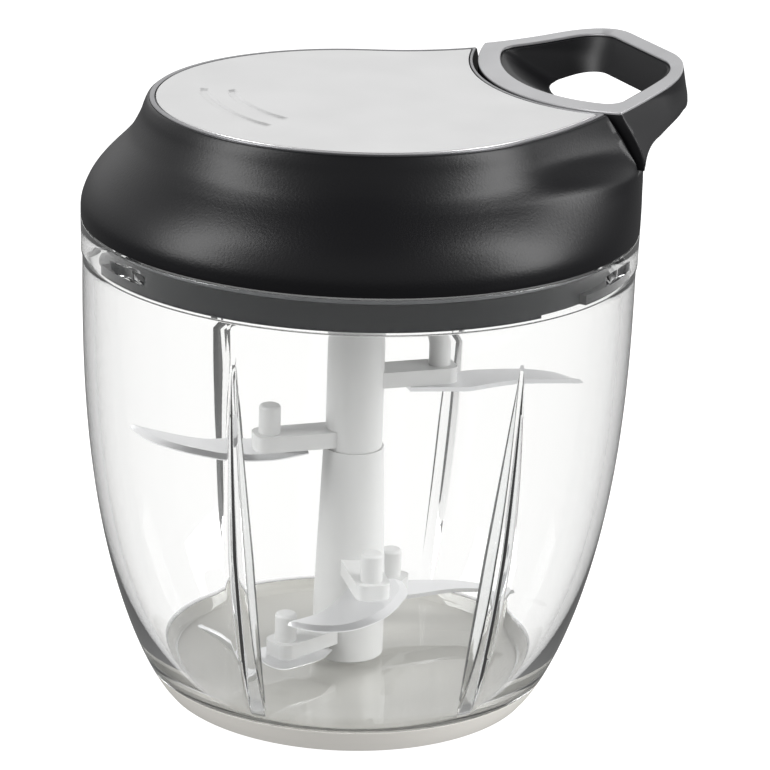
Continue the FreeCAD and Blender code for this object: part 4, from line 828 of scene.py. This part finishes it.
def add_floor():
    """Plain white floor for the eye: it keeps the jar's shadow, and other rays pass through it."""
    mesh = bpy.data.meshes.new("floor")
    corners = np.array([(-1, -1), (1, -1), (1, 1), (-1, 1)]) * FLOOR_REACH
    mesh.from_pydata(np.column_stack([corners, np.full(4, FLOOR_LEVEL)]).tolist(), [], [(0, 1, 2, 3)])
    mat = bpy.data.materials.new("floor_white")
    mat.use_nodes = True
    nodes, link = mat.node_tree.nodes, mat.node_tree.links.new
    nodes.remove(nodes["Principled BSDF"])
    white, paint, clear = (nodes.new(kind) for kind in ("ShaderNodeEmission", "ShaderNodeBsdfDiffuse",
                                                        "ShaderNodeBsdfTransparent"))
    white.inputs["Strength"].default_value = 0.94
    paint.inputs["Color"].default_value = (0.35, 0.35, 0.35, 1)
    both, mix, path = (nodes.new(kind) for kind in ("ShaderNodeAddShader", "ShaderNodeMixShader",
                                                    "ShaderNodeLightPath"))
    link(white.outputs["Emission"], both.inputs[0])
    link(paint.outputs["BSDF"], both.inputs[1])
    link(path.outputs["Is Camera Ray"], mix.inputs["Fac"])
    link(clear.outputs["BSDF"], mix.inputs[1])
    link(both.outputs["Shader"], mix.inputs[2])
    link(mix.outputs["Shader"], nodes["Material Output"].inputs["Surface"])
    mesh.materials.append(mat)
    floor = bpy.data.objects.new("floor", mesh)
    bpy.context.scene.collection.objects.link(floor)


# ------------------------------------------------------------------ the scene
NODE_MATERIALS = {
    "floor_pivot": "foot_plastic", "lower_shaft": "white_plastic", "upper_shaft": "white_plastic",
    "drive_hub": "acetal", "axle_screw": "screw_steel", "spool": "acetal", "cord_winding": "cord_fibre",
    "spring_cover": "grey_plastic", "pawl_a": "grey_plastic", "pawl_b": "grey_plastic",
    "spool_axle": "screw_steel", "spool_washer": "screw_steel", "recoil_spring": "spring_steel",
    "cord_lead": "cord_fibre", "lid_skirt": "skirt_plastic", "lid_seal": "seal_rubber",
    "housing_screws": "screw_steel", "cord_anchor": "acetal",
}

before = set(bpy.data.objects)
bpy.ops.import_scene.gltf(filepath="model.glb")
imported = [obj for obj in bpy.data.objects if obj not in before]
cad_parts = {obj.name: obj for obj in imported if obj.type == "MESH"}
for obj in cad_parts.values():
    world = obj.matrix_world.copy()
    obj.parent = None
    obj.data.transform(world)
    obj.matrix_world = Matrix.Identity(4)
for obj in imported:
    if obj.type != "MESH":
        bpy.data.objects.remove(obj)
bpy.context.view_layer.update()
mats = make_materials()
for node, slot_name in NODE_MATERIALS.items():
    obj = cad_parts[node]
    obj.data.materials.clear()
    obj.data.materials.append(mats[slot_name])
make_piece("jar_bowl", jar_points(), mats["clear_plastic"], "jar_body", ["jar"],
           wrap_rows=False)
make_piece("foot", foot_points(), mats["foot_plastic"], "jar_body", ["foot_cap"],
           wrap_rows=False)
make_piece("lid_shell", lid_points(), mats["black_plastic"], "lid_body", ["lid_housing"])
make_piece("lid_trim", trim_points(), mats["silver_trim"], "lid_body", ["top_trim"])
make_piece("lid_plate", plate_points(), mats["silver_plate"], "lid_body", ["top_plate"], 50,
           wrap_rows=False)
make_piece("dock_eyelet", eyelet_points(), mats["screw_steel"], "lid_body", ["cord_eyelet"])
make_piece("handle_grip", handle_body_points(), mats["handle_black"], "handle", ["handle_body"])
make_piece("handle_top", frame_points(), mats["frame_grey"], "handle", ["handle_frame"])
for node, *shape in BLADES:
    make_piece(node.replace("blade", "bevelled_blade"), blade_points(*shape), mats["blade_steel"],
               "blade_shaft", [node], 15, wrap_cols=False)
add_camera()
softbox("softbox_left", -70, 30, 0.75, 0.30, 0.60, 5.0)
softbox("softbox_right", 72, 28, 0.75, 0.30, 0.60, 5.5)
add_floor()
add_world()
bpy.context.scene.view_settings.view_transform = "Standard"
